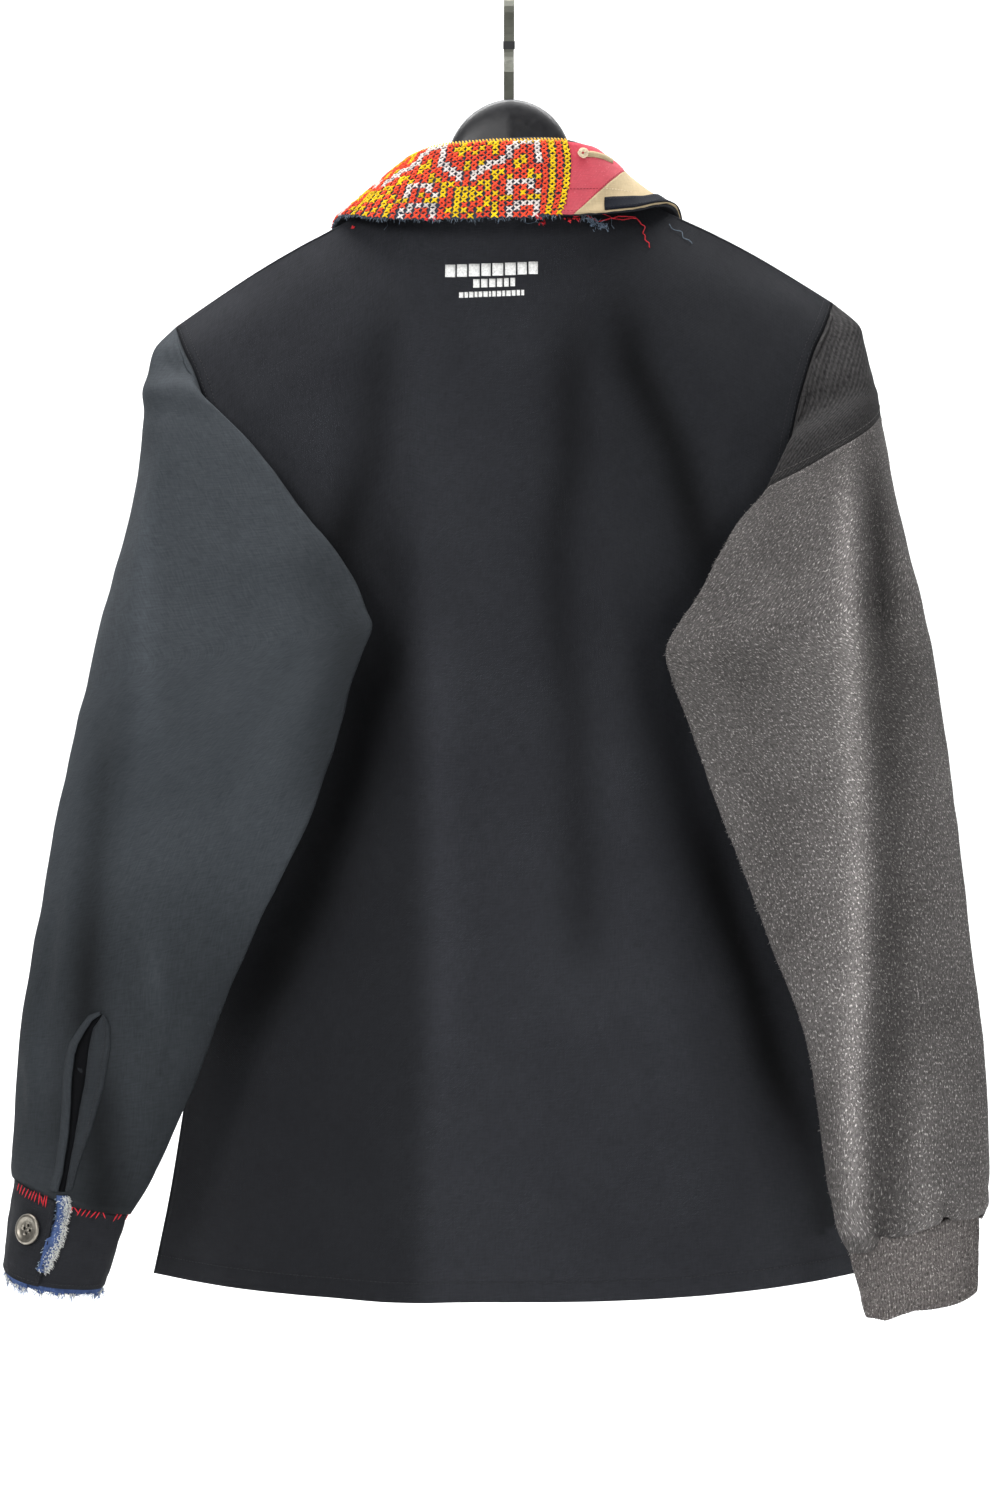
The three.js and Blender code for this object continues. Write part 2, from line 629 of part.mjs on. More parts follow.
function collarStand() {
  const neckHalf = (side) => {
    const pick = (grid, k) => {
      const middle = (grid[0].length - 1) / 2;
      return grid[0][middle + side * k];
    };
    return [
      ...backNeckPlaces.map((place, k) => [pick(backGrid, k), place * side]),
      ...frontNeckPlaces.map((place, k) => [pick(frontGrid, frontNeckPlaces.length - k), place * side]),
    ];
  };
  const neck = [...neckHalf(-1).slice(1).reverse(), ...neckHalf(1)];
  const outer = [0, 0.5, 1].map((t) => neck.map(([foot, place]) => {
    const bottom = foot.clone().add(point(0, 0, seamGap));
    const top = collarPoint(0, place).add(point(0, 0, -thickness.collar - standDrop));
    return mixPoints(bottom, top, t).addScaledVector(outwardFromNeck(foot), -0.5 - 1.5 * t);
  }));
  const into = outer.map((row) => row.map((p) => outwardFromNeck(p).negate()));
  return wallBetween(outer, moved(outer, into, thickness.collar));
}

const fall = collarFall();

// The tab on the red patch: a narrow strip along the fall's third row.
const tab = { stations: [0.18, 0.4, 0.62, 0.85], rows: [-0.05, 0.26], lift: 0.9 };

function collarTab() {
  const rowAt = (t) => tab.stations.map((s) => {
    const place = mix(embroideredEnd, redEnd, s);
    const j = Math.min(Math.floor(place), redEnd - 1);
    const above = mixPoints(fall.outer[2][j], fall.outer[2][j + 1], place - j);
    const below = mixPoints(fall.outer[3][j], fall.outer[3][j + 1], place - j);
    const lift = mixPoints(fall.normals[2][j], fall.normals[2][j + 1], place - j).normalize();
    return mixPoints(above, below, t).addScaledVector(lift, thickness.patch + 2 * seamGap + tab.lift);
  });
  const under = tab.rows.map(rowAt);
  const normals = gridNormals(under, 1).map((row) => row.map((n) => n.negate()));
  return wallBetween(moved(under, normals, thickness.strip), under);
}

// ---------------------------------------------------------------- small pieces

function buttonGeometry({ radius, height }) {
  const bevel = height * 0.25;
  const profile = [
    [0, 0], [radius - bevel, 0], [radius, bevel], [radius, height - bevel], [radius - bevel, height],
    [radius - 2.6, height], [0, height - 0.7],
  ].map(([r, h]) => new THREE.Vector2(r, h));
  return new THREE.LatheGeometry(profile, 14);
}

// ---------------------------------------------------------------- hanger

// Sections across the hanger: x, top of the section, its half depth in y, its half height, its centre y.
const hangerStations = [
  // x, top, halfDepth, halfHeight, y
  [0, -69, 9, 34, 8],
  [15, -72, 9, 33, 8],
  [28, -80, 9, 30, 8],
  [38, -93, 9, 26, 8],
  [46, -114, 9, 18, 6],
  [62, -140, 7, 12, 2],
  [85, -151, 6.5, 11, -4],
  [120, -169, 6.5, 11, -4],
  [155, -188, 7, 11, -1],
  [185, -205, 7, 10, 4],
  [203, -217, 6, 8, 8],
];
const hangerRing = 14;

function hangerGeometry() {
  const otherHalf = hangerStations.slice(1).reverse().map(([x, ...rest]) => [-x, ...rest]);
  const all = [...otherHalf, ...hangerStations];
  const rings = all.map(([x, top, halfDepth, halfHeight, y]) => {
    const centreZ = tilted(x, top) - halfHeight;
    return Array.from({ length: hangerRing }, (_, k) => {
      const angle = (2 * Math.PI * k) / hangerRing;
      const [c, s] = [Math.cos(angle), Math.sin(angle)];
      const round = (v) => Math.sign(v) * Math.abs(v) ** 0.8;
      return point(x, y + halfDepth * round(c), centreZ + halfHeight * round(s));
    });
  });
  const shell = new Shell();
  rings.slice(0, -1).forEach((ring, i) => {
    ring.forEach((p, k) => {
      const next = (k + 1) % hangerRing;
      shell.quad(p, ring[next], rings[i + 1][next], rings[i + 1][k]);
    });
  });
  [rings[0], rings[rings.length - 1]].forEach((ring, which) => {
    for (let k = 1; k < hangerRing - 1; k++) {
      if (which === 0) shell.triangle(ring[0], ring[k + 1], ring[k]);
      else shell.triangle(ring[0], ring[k], ring[k + 1]);
    }
  });
  return shell.geometry();
}

// The hook is a flat strip bent in the YZ plane and opening towards -Y.
const hook = {
  width: 7, strip: 2, bend: 24, stemFoot: -69 - seamGap,
  startDegrees: -58, tipDegrees: 223, stepDegrees: 11.24,
  capLength: 5, capWidth: 8, capThickness: 3.2,
};

function hookPath() {
  const centreZ = -(hook.bend - hook.strip / 2);
  const arc = (degrees) => {
    const angle = THREE.MathUtils.degToRad(degrees);
    return new THREE.Vector2(hook.bend * Math.cos(angle), centreZ + hook.bend * Math.sin(angle));
  };
  const stem = [[8, hook.stemFoot], [8, -62], [7.4, -56], [8.4, -50]].map((yz) => new THREE.Vector2(...yz));
  const sweep = [];
  for (let degrees = hook.startDegrees; degrees <= hook.tipDegrees; degrees += hook.stepDegrees) {
    sweep.push(arc(degrees));
  }
  return { stem, sweep };
}

// A strip of constant thickness along a path of (y, z) points, as wide as the hook in x.
function stripGeometry(path, width, depth) {
  const side = path.map((p, k) => {
    const before = path[Math.max(0, k - 1)];
    const after = path[Math.min(path.length - 1, k + 1)];
    const along = after.clone().sub(before).normalize();
    return new THREE.Vector2(-along.y, along.x).multiplyScalar(depth / 2);
  });
  const shell = new Shell();
  const corner = (k, across, half) => {
    const p = path[k].clone().addScaledVector(side[k], across);
    return point((half * width) / 2, p.x, p.y);
  };
  const ring = (k) => [corner(k, -1, -1), corner(k, 1, -1), corner(k, 1, 1), corner(k, -1, 1)];
  for (let k = 0; k < path.length - 1; k++) {
    const [a, b] = [ring(k), ring(k + 1)];
    for (let m = 0; m < 4; m++) shell.quad(a[m], a[(m + 1) % 4], b[(m + 1) % 4], b[m]);
  }
  const [a, b] = [ring(0), ring(path.length - 1)];
  shell.quad(a[3], a[2], a[1], a[0]);
  shell.quad(b[0], b[1], b[2], b[3]);
  return shell.geometry();
}

function hookPieces() {
  const { stem, sweep } = hookPath();
  const tip = sweep[sweep.length - 1];
  const along = tip.clone().sub(sweep[sweep.length - 2]).normalize();
  const capFrom = tip.clone().addScaledVector(along, seamGap);
  const capTo = capFrom.clone().addScaledVector(along, hook.capLength);
  return {
    strip: stripGeometry([...stem, ...sweep], hook.width, hook.strip),
    cap: stripGeometry([capFrom, capTo], hook.capWidth, hook.capThickness),
  };
}

// ---------------------------------------------------------------- assembly

const part = new THREE.Group();
const finishes = {
  blackCotton: { color: 0x1c1e21, roughness: 0.9, metalness: 0 },
  slateCotton: { color: 0x25292c, roughness: 0.9, metalness: 0 },
  greyJersey: { color: 0x5c5753, roughness: 0.95, metalness: 0 },
  greyRib: { color: 0x504b47, roughness: 0.95, metalness: 0 },
  embroidery: { color: 0xe8553a, roughness: 0.85, metalness: 0 },
  redCotton: { color: 0xc84758, roughness: 0.85, metalness: 0 },
  creamCotton: { color: 0xc8b491, roughness: 0.85, metalness: 0 },
  blueDenim: { color: 0x4a6488, roughness: 0.9, metalness: 0 },
  pewter: { color: 0x8d8a84, roughness: 0.4, metalness: 1 },
  hangerPlastic: { color: 0x26262a, roughness: 0.4, metalness: 0 },
  hookSteel: { color: 0x55564e, roughness: 0.35, metalness: 1 },
  rubber: { color: 0x0c0c0e, roughness: 0.6, metalness: 0 },
};

function add(name, finish, geometry) {
  const mesh = new THREE.Mesh(geometry, new THREE.MeshStandardMaterial(finishes[finish]));
  mesh.name = name;
  part.add(mesh);
  return mesh;
}

add('back', 'blackCotton', wallBetween(back.outer, back.inner));
const frontLeft = frontHalf(-1);
const frontRight = frontHalf(1);
add('front_left', 'blackCotton', wallBetween(frontLeft.outer, frontLeft.inner));
add('front_right', 'blackCotton', wallBetween(frontRight.outer, frontRight.inner));
const placketColumns = [centreColumn - 1, centreColumn + 1];
const placketRows = [0, bodyRows.length - 1];
add('front_placket', 'blackCotton', layerOn(front, placketRows, placketColumns, thickness.patch));

for (let k = 0; k < buttonCount; k++) {
  const z = firstButtonZ - buttonPitch * k;
  const surface = depthAt(frontGrid, bodyOffset, z);
  const button = add(`front_button_${k + 1}`, 'pewter', buttonGeometry(frontButton));
  button.position.set(bodyOffset, surface + thickness.patch + buttonClearance, z);
}

add('sleeve_left', 'slateCotton', rowsOf(leftSleeve, 0, leftSleeveRows.length));
add('sleeve_right_cap', 'greyRib', rowsOf(rightSleeve, 0, capRow));
add('sleeve_right', 'greyJersey', rowsOf(rightSleeve, capRow, rightSleeveRows.length));

const cuffRows = [0, lapCuff.outer.length - 1];
const stripColumns = [leftCuff.lapColumns, leftCuff.lapColumns + 1];
const slitBinding = layerOn(leftSleeve, placket.rows, placket.columns, thickness.strip);
add('sleeve_left_placket', 'slateCotton', slitBinding);
add('cuff_left', 'blackCotton', wallBetween(lapCuff.outer, lapCuff.inner));
add('cuff_left_denim_strip', 'blueDenim', layerOn(lapCuff, cuffRows, stripColumns, thickness.denimStrip));
add('cuff_left_denim_facing', 'blueDenim', cuffFacing());
const seat = onLeftCuff(leftCuff.columns - cuffButton.columnsFromEnd, cuffButton.share);
const leftCuffButton = add('cuff_left_button', 'pewter', buttonGeometry(cuffButton));
leftCuffButton.position.copy(seat.at).addScaledVector(seat.out, 2 * seamGap);
leftCuffButton.quaternion.setFromUnitVectors(point(0, 1, 0), seat.out);
add('cuff_right', 'greyRib', ribTube());

add('collar_stand', 'blackCotton', collarStand());
add('collar_fall', 'blackCotton', wallBetween(fall.outer, fall.inner));
const fallRows = [1, collarFallRows.length - 1];
const fallEnd = collarColumns.length - 1;
const collarPatch = (columns) => layerOn(fall, fallRows, columns, thickness.patch);
add('collar_embroidered_panel', 'embroidery', collarPatch([0, embroideredEnd]));
add('collar_red_patch', 'redCotton', collarPatch([embroideredEnd, redEnd]));
add('collar_cream_patch', 'creamCotton', collarPatch([redEnd, fallEnd]));
const overPatch = thickness.patch + seamGap;
const blackRows = [blackRow, fallRows[1]];
const blackStrip = layerOn(fall, blackRows, [blackStart, fallEnd], thickness.strip, overPatch);
add('collar_black_strip', 'blackCotton', blackStrip);
add('collar_tab', 'creamCotton', collarTab());

add('hanger', 'hangerPlastic', hangerGeometry());
const { strip, cap } = hookPieces();
add('hanger_hook', 'hookSteel', strip);
add('hook_tip_cap', 'rubber', cap);

export default part;
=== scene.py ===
import math
import bpy
import bmesh
import numpy as np
from mathutils import Matrix, Vector
from mathutils.bvhtree import BVHTree


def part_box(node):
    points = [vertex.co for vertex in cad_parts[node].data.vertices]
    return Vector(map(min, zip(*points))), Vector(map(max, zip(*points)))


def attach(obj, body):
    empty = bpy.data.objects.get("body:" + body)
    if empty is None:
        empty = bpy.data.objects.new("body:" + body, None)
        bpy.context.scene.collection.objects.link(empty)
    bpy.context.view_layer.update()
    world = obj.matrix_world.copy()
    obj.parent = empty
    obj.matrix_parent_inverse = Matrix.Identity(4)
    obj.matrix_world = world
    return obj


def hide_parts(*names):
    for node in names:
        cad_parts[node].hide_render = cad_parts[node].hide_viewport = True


# Lengths are in millimetres here and become metres where a mesh is made.
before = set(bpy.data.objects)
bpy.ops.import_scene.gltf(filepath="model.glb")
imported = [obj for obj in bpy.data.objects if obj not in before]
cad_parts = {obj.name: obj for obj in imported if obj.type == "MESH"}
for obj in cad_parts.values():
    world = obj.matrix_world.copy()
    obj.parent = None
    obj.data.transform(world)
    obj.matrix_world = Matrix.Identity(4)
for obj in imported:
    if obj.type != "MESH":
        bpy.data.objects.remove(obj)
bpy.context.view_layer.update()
toMetres = 0.001
smallestSheet = 10
noiseWaves = 14
chance = np.random.default_rng(11)
print("frame loaded:", len(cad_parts), "nodes")


def mix(a, b, t):
    return a + (b - a) * t


def smooth(t):
    t = np.clip(t, 0, 1)
    return t * t * (3 - 2 * t)


def unit(v):
    return v / np.maximum(np.linalg.norm(v, axis=-1, keepdims=True), 1e-9)


def curvePoint(p0, p1, p2, p3, t):
    return 0.5 * (2 * p1 + (p2 - p0) * t + (2 * p0 - 5 * p1 + 4 * p2 - p3) * t ** 2
                  + (3 * p1 - p0 - 3 * p2 + p3) * t ** 3)


# Adds steps between the rows of a grid along smooth curves; rows flagged as closed wrap round.
def refine(grid, steps, closed=None):
    before = 2 * grid[0] - grid[1]
    after = 2 * grid[-1] - grid[-2]
    if closed is not None:
        before = np.where(closed[:, None], grid[-2], before)
        after = np.where(closed[:, None], grid[1], after)
    full = np.concatenate([before[None], grid, after[None]])
    t = (np.arange(steps) / steps)[None, :, None, None]
    count = len(full) - 3
    p0, p1, p2, p3 = (full[k:count + k][:, None] for k in range(4))
    fine = curvePoint(p0, p1, p2, p3, t).reshape(-1, grid.shape[1], 3)
    return np.concatenate([fine, grid[-1:]])


def fineGrid(grid, rowSteps, columnSteps, closedFrom=None):
    grid = np.array(grid, float)
    closed = None if closedFrom is None else np.arange(len(grid)) >= closedFrom
    wide = refine(grid.transpose(1, 0, 2), columnSteps, closed).transpose(1, 0, 2)
    return refine(wide, rowSteps)


def gridNormals(grid, turn, closedFrom=None):
    across = np.gradient(grid, axis=1)
    if closedFrom is not None:
        ring = grid[closedFrom:, 1] - grid[closedFrom:, -2]
        across[closedFrom:, 0] = ring
        across[closedFrom:, -1] = ring
    return unit(np.cross(across, np.gradient(grid, axis=0))) * turn


# Reads a grid between its points, by fractions of rows and columns.
def sample(field, rows, columns):
    rows = np.clip(np.asarray(rows, float), 0, field.shape[0] - 1.0001)
    columns = np.clip(np.asarray(columns, float), 0, field.shape[1] - 1.0001)
    i, j = rows.astype(int), columns.astype(int)
    a, b = (rows - i)[..., None], (columns - j)[..., None]
    upper = field[i, j] * (1 - b) + field[i, j + 1] * b
    lower = field[i + 1, j] * (1 - b) + field[i + 1, j + 1] * b
    return upper * (1 - a) + lower * a


def arcLengths(points):
    steps = np.linalg.norm(np.diff(points, axis=0), axis=1)
    return np.concatenate([[0], np.cumsum(steps)])


# Reads a line of points, or values given along it, at distances from its start.
def readAlong(values, lengths, at):
    return np.stack([np.interp(at, lengths, values[:, k]) for k in range(values.shape[1])], -1)


# Smooth value noise on points, repeatable for one seed.
def softNoise(points, size, seed):
    local = np.random.default_rng(seed)
    total = np.zeros(points.shape[:-1])
    for _ in range(noiseWaves):
        direction = unit(local.normal(size=3)) * 2 * math.pi / (size * local.uniform(0.7, 1.6))
        total += np.sin(points @ direction + local.uniform(0, 2 * math.pi))
    return total / noiseWaves ** 0.5


# Broad and fine ripples over each other; each layer is its size, its stretch and its depth.
def ripples(points, layers, seed):
    return sum(softNoise(points * stretch, size, seed + k) * depth for k,
               (size, stretch, depth) in enumerate(layers))


def addObject(name, data):
    obj = bpy.data.objects.new(name, data)
    bpy.context.scene.collection.objects.link(obj)
    return obj


def finish(obj, material):
    obj.data.materials.clear()
    obj.data.materials.append(material)
    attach(obj, "root")
    return obj


def meshObject(name, vertices, faces, smoothShade=True):
    mesh = bpy.data.meshes.new(name)
    mesh.from_pydata(np.asarray(vertices).tolist(), [], faces if isinstance(faces, list) else faces.tolist())
    if smoothShade:
        mesh.shade_smooth()
    return addObject(name, mesh)


# Merges doubles within a distance in metres and turns the faces of a closed mesh outwards.
def faceOutward(mesh, mergeWithin=None):
    bm = bmesh.new()
    bm.from_mesh(mesh)
    if mergeWithin:
        bmesh.ops.remove_doubles(bm, verts=bm.verts, dist=mergeWithin)
    if bm.calc_volume(signed=True) < 0:
        bmesh.ops.reverse_faces(bm, faces=bm.faces)
    bm.to_mesh(mesh)
    bm.free()
    mesh.shade_smooth()


# Distances in metres along each row, centred, and down the middle column: the weave follows these.
def clothMap(grid):
    steps = np.linalg.norm(np.diff(grid, axis=1), axis=2)
    along = np.concatenate([np.zeros((len(grid), 1)), np.cumsum(steps, axis=1)], axis=1)
    along -= along[:, -1:] / 2
    down = arcLengths(grid[:, grid.shape[1] // 2])[:, None] + 0 * along
    return np.stack([along, down], axis=-1) * toMetres


# A closed wall from an outer grid and its normals; the painted shade and highlight it carries is one value or
# one for each point.
def clothWall(name, outer, normals, thickness, closedFrom=None, inner=None, wear=None):
    rows, columns = outer.shape[:2]
    inner = outer - normals * thickness if inner is None else inner
    ids = np.arange(rows * columns).reshape(rows, columns)
    shift = rows * columns
    corners = np.stack([ids[:-1, :-1], ids[:-1, 1:], ids[1:, 1:], ids[1:, :-1]], -1).reshape(-1, 4)
    top = np.stack([ids[0, 1:], ids[0, :-1], ids[0, :-1] + shift, ids[0, 1:] + shift], -1)
    foot = np.stack([ids[-1, :-1], ids[-1, 1:], ids[-1, 1:] + shift, ids[-1, :-1] + shift], -1)
    faces = [corners, corners[:, ::-1] + shift, top, foot]
    openRows = rows - 1 if closedFrom is None else min(rows - 1, closedFrom)
    if openRows > 0:
        a, b = ids[:openRows, 0], ids[1:openRows + 1, 0]
        faces.append(np.stack([a, b, b + shift, a + shift], -1))
        a, b = ids[:openRows, -1], ids[1:openRows + 1, -1]
        faces.append(np.stack([b, a, a + shift, b + shift], -1))
    faces = np.concatenate(faces)
    vertices = np.concatenate([outer.reshape(-1, 3), inner.reshape(-1, 3)]) * toMetres
    obj = meshObject(name, vertices, faces)
    layer = obj.data.uv_layers.new(name="cloth")
    flat = clothMap(outer).reshape(-1, 2)[faces.reshape(-1) % shift]
    layer.data.foreach_set("uv", flat.astype(np.float32).reshape(-1))
    if wear is not None:
        attribute = obj.data.attributes.new("wear", "FLOAT", "POINT")
        wornAndPaintedLight = np.broadcast_to(wear, (rows, columns)).reshape(-1)
        attribute.data.foreach_set("value", np.tile(wornAndPaintedLight, 2).astype(np.float32))
    faceOutward(obj.data, 2e-6)
    return obj


# Works out the width and length, in whole millimetres, of the sheet that a grid measures; nothing is done
# with them.
def declareSheet(grid):
    spans = (np.linalg.norm(np.diff(grid, axis=k), axis=2).sum(axis=k).max() for k in (1, 0))
    width, length = (max(smallestSheet, math.ceil(span)) * toMetres for span in spans)


# A finished sheet of cloth that takes the place of one of the frame's nodes.
def clothPiece(name, grid, normals, thickness, material, slot, node, held, restsOn, **shape):
    piece = clothWall(name, grid, normals, thickness, **shape)
    finish(piece, finishes[material])
    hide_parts(node)
    declareSheet(grid)
    return piece


# Threads as thin tubes along lists of points.
def threadMesh(name, paths, radii, sides=4):
    vertices, faces = [], []
    for path, radius in zip(paths, radii):
        path = np.asarray(path, float)
        tangent = unit(np.gradient(path, axis=0))
        aside = unit(np.cross(tangent, np.array([0.31, 0.22, 0.92])))
        other = np.cross(tangent, aside)
        start = len(vertices)
        for k, p in enumerate(path):
            thin = radius * (0.75 if k in (0, len(path) - 1) else 1)
            for s in range(sides):
                angle = 2 * math.pi * s / sides
                out = math.cos(angle) * aside[k] + math.sin(angle) * other[k]
                vertices.append((p + thin * out) * toMetres)
        for k in range(len(path) - 1):
            for s in range(sides):
                a = start + k * sides + s
                b = start + k * sides + (s + 1) % sides
                faces.append([a, b, b + sides, a + sides])
        faces.append([start + s for s in reversed(range(sides))])
        last = start + (len(path) - 1) * sides
        faces.append([last + s for s in range(sides)])
    return meshObject(name, np.array(vertices), faces)


def surfaceTree(*objects):
    vertices, faces = [], []
    for obj in objects:
        start = len(vertices)
        vertices += [v.co.copy() for v in obj.data.vertices]
        faces += [[start + k for k in p.vertices] for p in obj.data.polygons]
    return BVHTree.FromPolygons(vertices, faces)


def spacedPath(path, spacing):
    path = np.asarray(path, float)
    lengths = arcLengths(path)
    at = np.linspace(0, lengths[-1], max(2, int(lengths[-1] / spacing) + 1))
    return readAlong(path, lengths, at)


# Points and normals where rays along Y meet the cloth; face is -1 for the side that the back faces.
def onSurface(tree, places, face=-1):
    points, normals = [], []
    for x, z in places:
        hit, normal, _, _ = tree.ray_cast(Vector((x, face * 1500, z)) * toMetres, Vector((0, -face, 0)))
        if hit is None:
            near = points[-1][1] if points else face * 60
            hit, normal, _, _ = tree.find_nearest(Vector((x, near, z)) * toMetres)
        points.append(np.array(hit) / toMetres)
        normals.append(np.array(normal))
    return np.array(points), np.array(normals)


# One Geometry Nodes tree sews every kind of stitch: a rounded grain at each place, turned and stretched.
def buildStitchTree():
    tree = bpy.data.node_groups.new("sewnStitches", "GeometryNodeTree")
    sockets = [("Places", "NodeSocketGeometry"), ("Stitch Length", "NodeSocketFloat"),
               ("Stitch Width", "NodeSocketFloat"), ("Stitch Height", "NodeSocketFloat"),
               ("Thread", "NodeSocketMaterial")]
    for name, kind in sockets:
        tree.interface.new_socket(name, in_out="INPUT", socket_type=kind)
    tree.interface.new_socket("Stitches", in_out="OUTPUT", socket_type="NodeSocketGeometry")
    make = tree.nodes.new
    link = tree.links.new
    given, result = make("NodeGroupInput"), make("NodeGroupOutput")
    grain = make("GeometryNodeMeshUVSphere")
    grain.inputs["Segments"].default_value = 6
    grain.inputs["Rings"].default_value = 4
    grain.inputs["Radius"].default_value = 0.5
    size = make("ShaderNodeCombineXYZ")
    for axis, socket in zip("XYZ", ("Stitch Length", "Stitch Width", "Stitch Height")):
        link(given.outputs[socket], size.inputs[axis])
    shaped = make("GeometryNodeTransform")
    link(grain.outputs["Mesh"], shaped.inputs["Geometry"])
    link(size.outputs["Vector"], shaped.inputs["Scale"])
    named = {}
    for name in ("along", "up", "stretch"):
        named[name] = make("GeometryNodeInputNamedAttribute")
        named[name].data_type = "FLOAT_VECTOR"
        named[name].inputs["Name"].default_value = name
    turn = make("FunctionNodeAxesToRotation")
    turn.primary_axis, turn.secondary_axis = "Z", "X"
    link(named["up"].outputs["Attribute"], turn.inputs["Primary Axis"])
    link(named["along"].outputs["Attribute"], turn.inputs["Secondary Axis"])
    points = make("GeometryNodeMeshToPoints")
    link(given.outputs["Places"], points.inputs["Mesh"])
    sewn = make("GeometryNodeInstanceOnPoints")
    link(points.outputs["Points"], sewn.inputs["Points"])
    link(shaped.outputs["Geometry"], sewn.inputs["Instance"])
    link(turn.outputs["Rotation"], sewn.inputs["Rotation"])
    link(named["stretch"].outputs["Attribute"], sewn.inputs["Scale"])
    real = make("GeometryNodeRealizeInstances")
    link(sewn.outputs["Instances"], real.inputs["Geometry"])
    painted = make("GeometryNodeSetMaterial")
    link(real.outputs["Geometry"], painted.inputs["Geometry"])
    link(given.outputs["Thread"], painted.inputs["Material"])
    link(painted.outputs["Geometry"], result.inputs["Stitches"])
    return tree


stitchTree = buildStitchTree()


# Sews stitches at places; each place has its position, its direction, the way out and its stretch.
def sew(name, positions, along, up, size, material, stretch=None, tint=None):
    positions = np.asarray(positions, float).reshape(-1, 3)
    obj = meshObject(name + "_places", positions * toMetres, [], smoothShade=False)
    stretch = np.ones((len(positions), 3)) if stretch is None else stretch
    for key, values in (("along", along), ("up", up), ("stretch", stretch)):
        attribute = obj.data.attributes.new(key, "FLOAT_VECTOR", "POINT")
        attribute.data.foreach_set("vector", np.asarray(values, np.float32).reshape(-1))
    if tint is not None:
        attribute = obj.data.attributes.new("tint", "FLOAT_COLOR", "POINT")
        attribute.data.foreach_set("color", np.asarray(tint, np.float32).reshape(-1))
    modifier = obj.modifiers.new("stitches", "NODES")
    modifier.node_group = stitchTree
    ids = {item.name: item.identifier for item in stitchTree.interface.items_tree}
    for key, value in zip(("Stitch Length", "Stitch Width", "Stitch Height"), size):
        modifier[ids[key]] = value * toMetres
    modifier[ids["Thread"]] = finishes[material]
    evaluated = obj.evaluated_get(bpy.context.evaluated_depsgraph_get())
    mesh = bpy.data.meshes.new_from_object(evaluated)
    bpy.data.objects.remove(obj)
    mesh.shade_smooth()
    return finish(addObject(name, mesh), finishes[material])


# Stitches along a line of points, one for each pitch, a little above the cloth.
def stitchRun(points, normals, pitch, lift=0.15):
    points, normals = np.asarray(points), np.asarray(normals)
    lengths = arcLengths(points)
    count = max(1, int(lengths[-1] / pitch))
    at = (np.arange(count) + 0.5) * lengths[-1] / count
    place = readAlong(points, lengths, at) + readAlong(normals, lengths, at) * lift
    ahead = readAlong(points, lengths, np.minimum(at + 1, lengths[-1]))
    behind = readAlong(points, lengths, np.maximum(at - 1, 0))
    return place, unit(ahead - behind), unit(readAlong(normals, lengths, at))


print("tools ready")


def fillInputs(tree, node, inputs):
    for key, value in inputs.items():
        if isinstance(value, bpy.types.NodeSocket):
            tree.links.new(value, node.inputs[key])
        else:
            node.inputs[key].default_value = value


# Short ways to add the nodes that the finishes are made of.
def addNode(tree, kind, inputs=None, **settings):
    made = tree.nodes.new(kind)
    for key, value in settings.items():
        setattr(made, key, value)
    fillInputs(tree, made, inputs or {})
    return made


def useGroup(tree, group, inputs):
    return addNode(tree, "ShaderNodeGroup", inputs, node_tree=group).outputs


def calculate(tree, operation, *values):
    return addNode(tree, "ShaderNodeMath", dict(enumerate(values)), operation=operation).outputs[0]


def multiplied(tree, vector, factor):
    return addNode(tree, "ShaderNodeVectorMath", {0: vector, 1: factor}, operation="MULTIPLY").outputs[0]


def remapped(tree, value, low, high, toLow=0.0, toHigh=1.0):
    inputs = {"Value": value, "From Min": low, "From Max": high, "To Min": toLow, "To Max": toHigh}
    return addNode(tree, "ShaderNodeMapRange", inputs).outputs[0]


def noise(tree, place, scale, detail=2.0, roughness=0.5):
    inputs = {"Vector": place, "Scale": scale, "Detail": detail, "Roughness": roughness}
    return addNode(tree, "ShaderNodeTexNoise", inputs).outputs[0]


# In the mix node, sockets 6 and 7 are the two colours and output 2 is the mixed one.
def mixed(tree, factor, first, second):
    return addNode(tree, "ShaderNodeMix", {0: factor, 6: first, 7: second}, data_type="RGBA").outputs[2]


def newGroup(name, inputs, outputs):
    tree = bpy.data.node_groups.new(name, "ShaderNodeTree")
    for key, kind, value in inputs:
        socket = tree.interface.new_socket(key, in_out="INPUT", socket_type=kind)
        socket.default_value = value
    for key, kind in outputs:
        tree.interface.new_socket(key, in_out="OUTPUT", socket_type=kind)
    return tree, tree.nodes.new("NodeGroupInput").outputs, tree.nodes.new("NodeGroupOutput")


vectorIn, numberIn, colourIn = "NodeSocketVector", "NodeSocketFloat", "NodeSocketColor"


# Painted highlight along crests and painted shade in folds, read from the painted light values on the cloth
# (0 where there is none).
def buildPaintedFoldLight():
    tree, given, result = newGroup("paintedFoldLight", [("Colour", colourIn, (1, 1, 1, 1))], [("Colour", colourIn)])
    wornAndPaintedLight = addNode(tree, "ShaderNodeAttribute", attribute_name="wear").outputs["Fac"]
    kept = calculate(tree, "MAXIMUM", calculate(tree, "ADD", wornAndPaintedLight, 1.0), 0.12)
    fillInputs(tree, result, {"Colour": multiplied(tree, given["Colour"], kept)})
    return tree


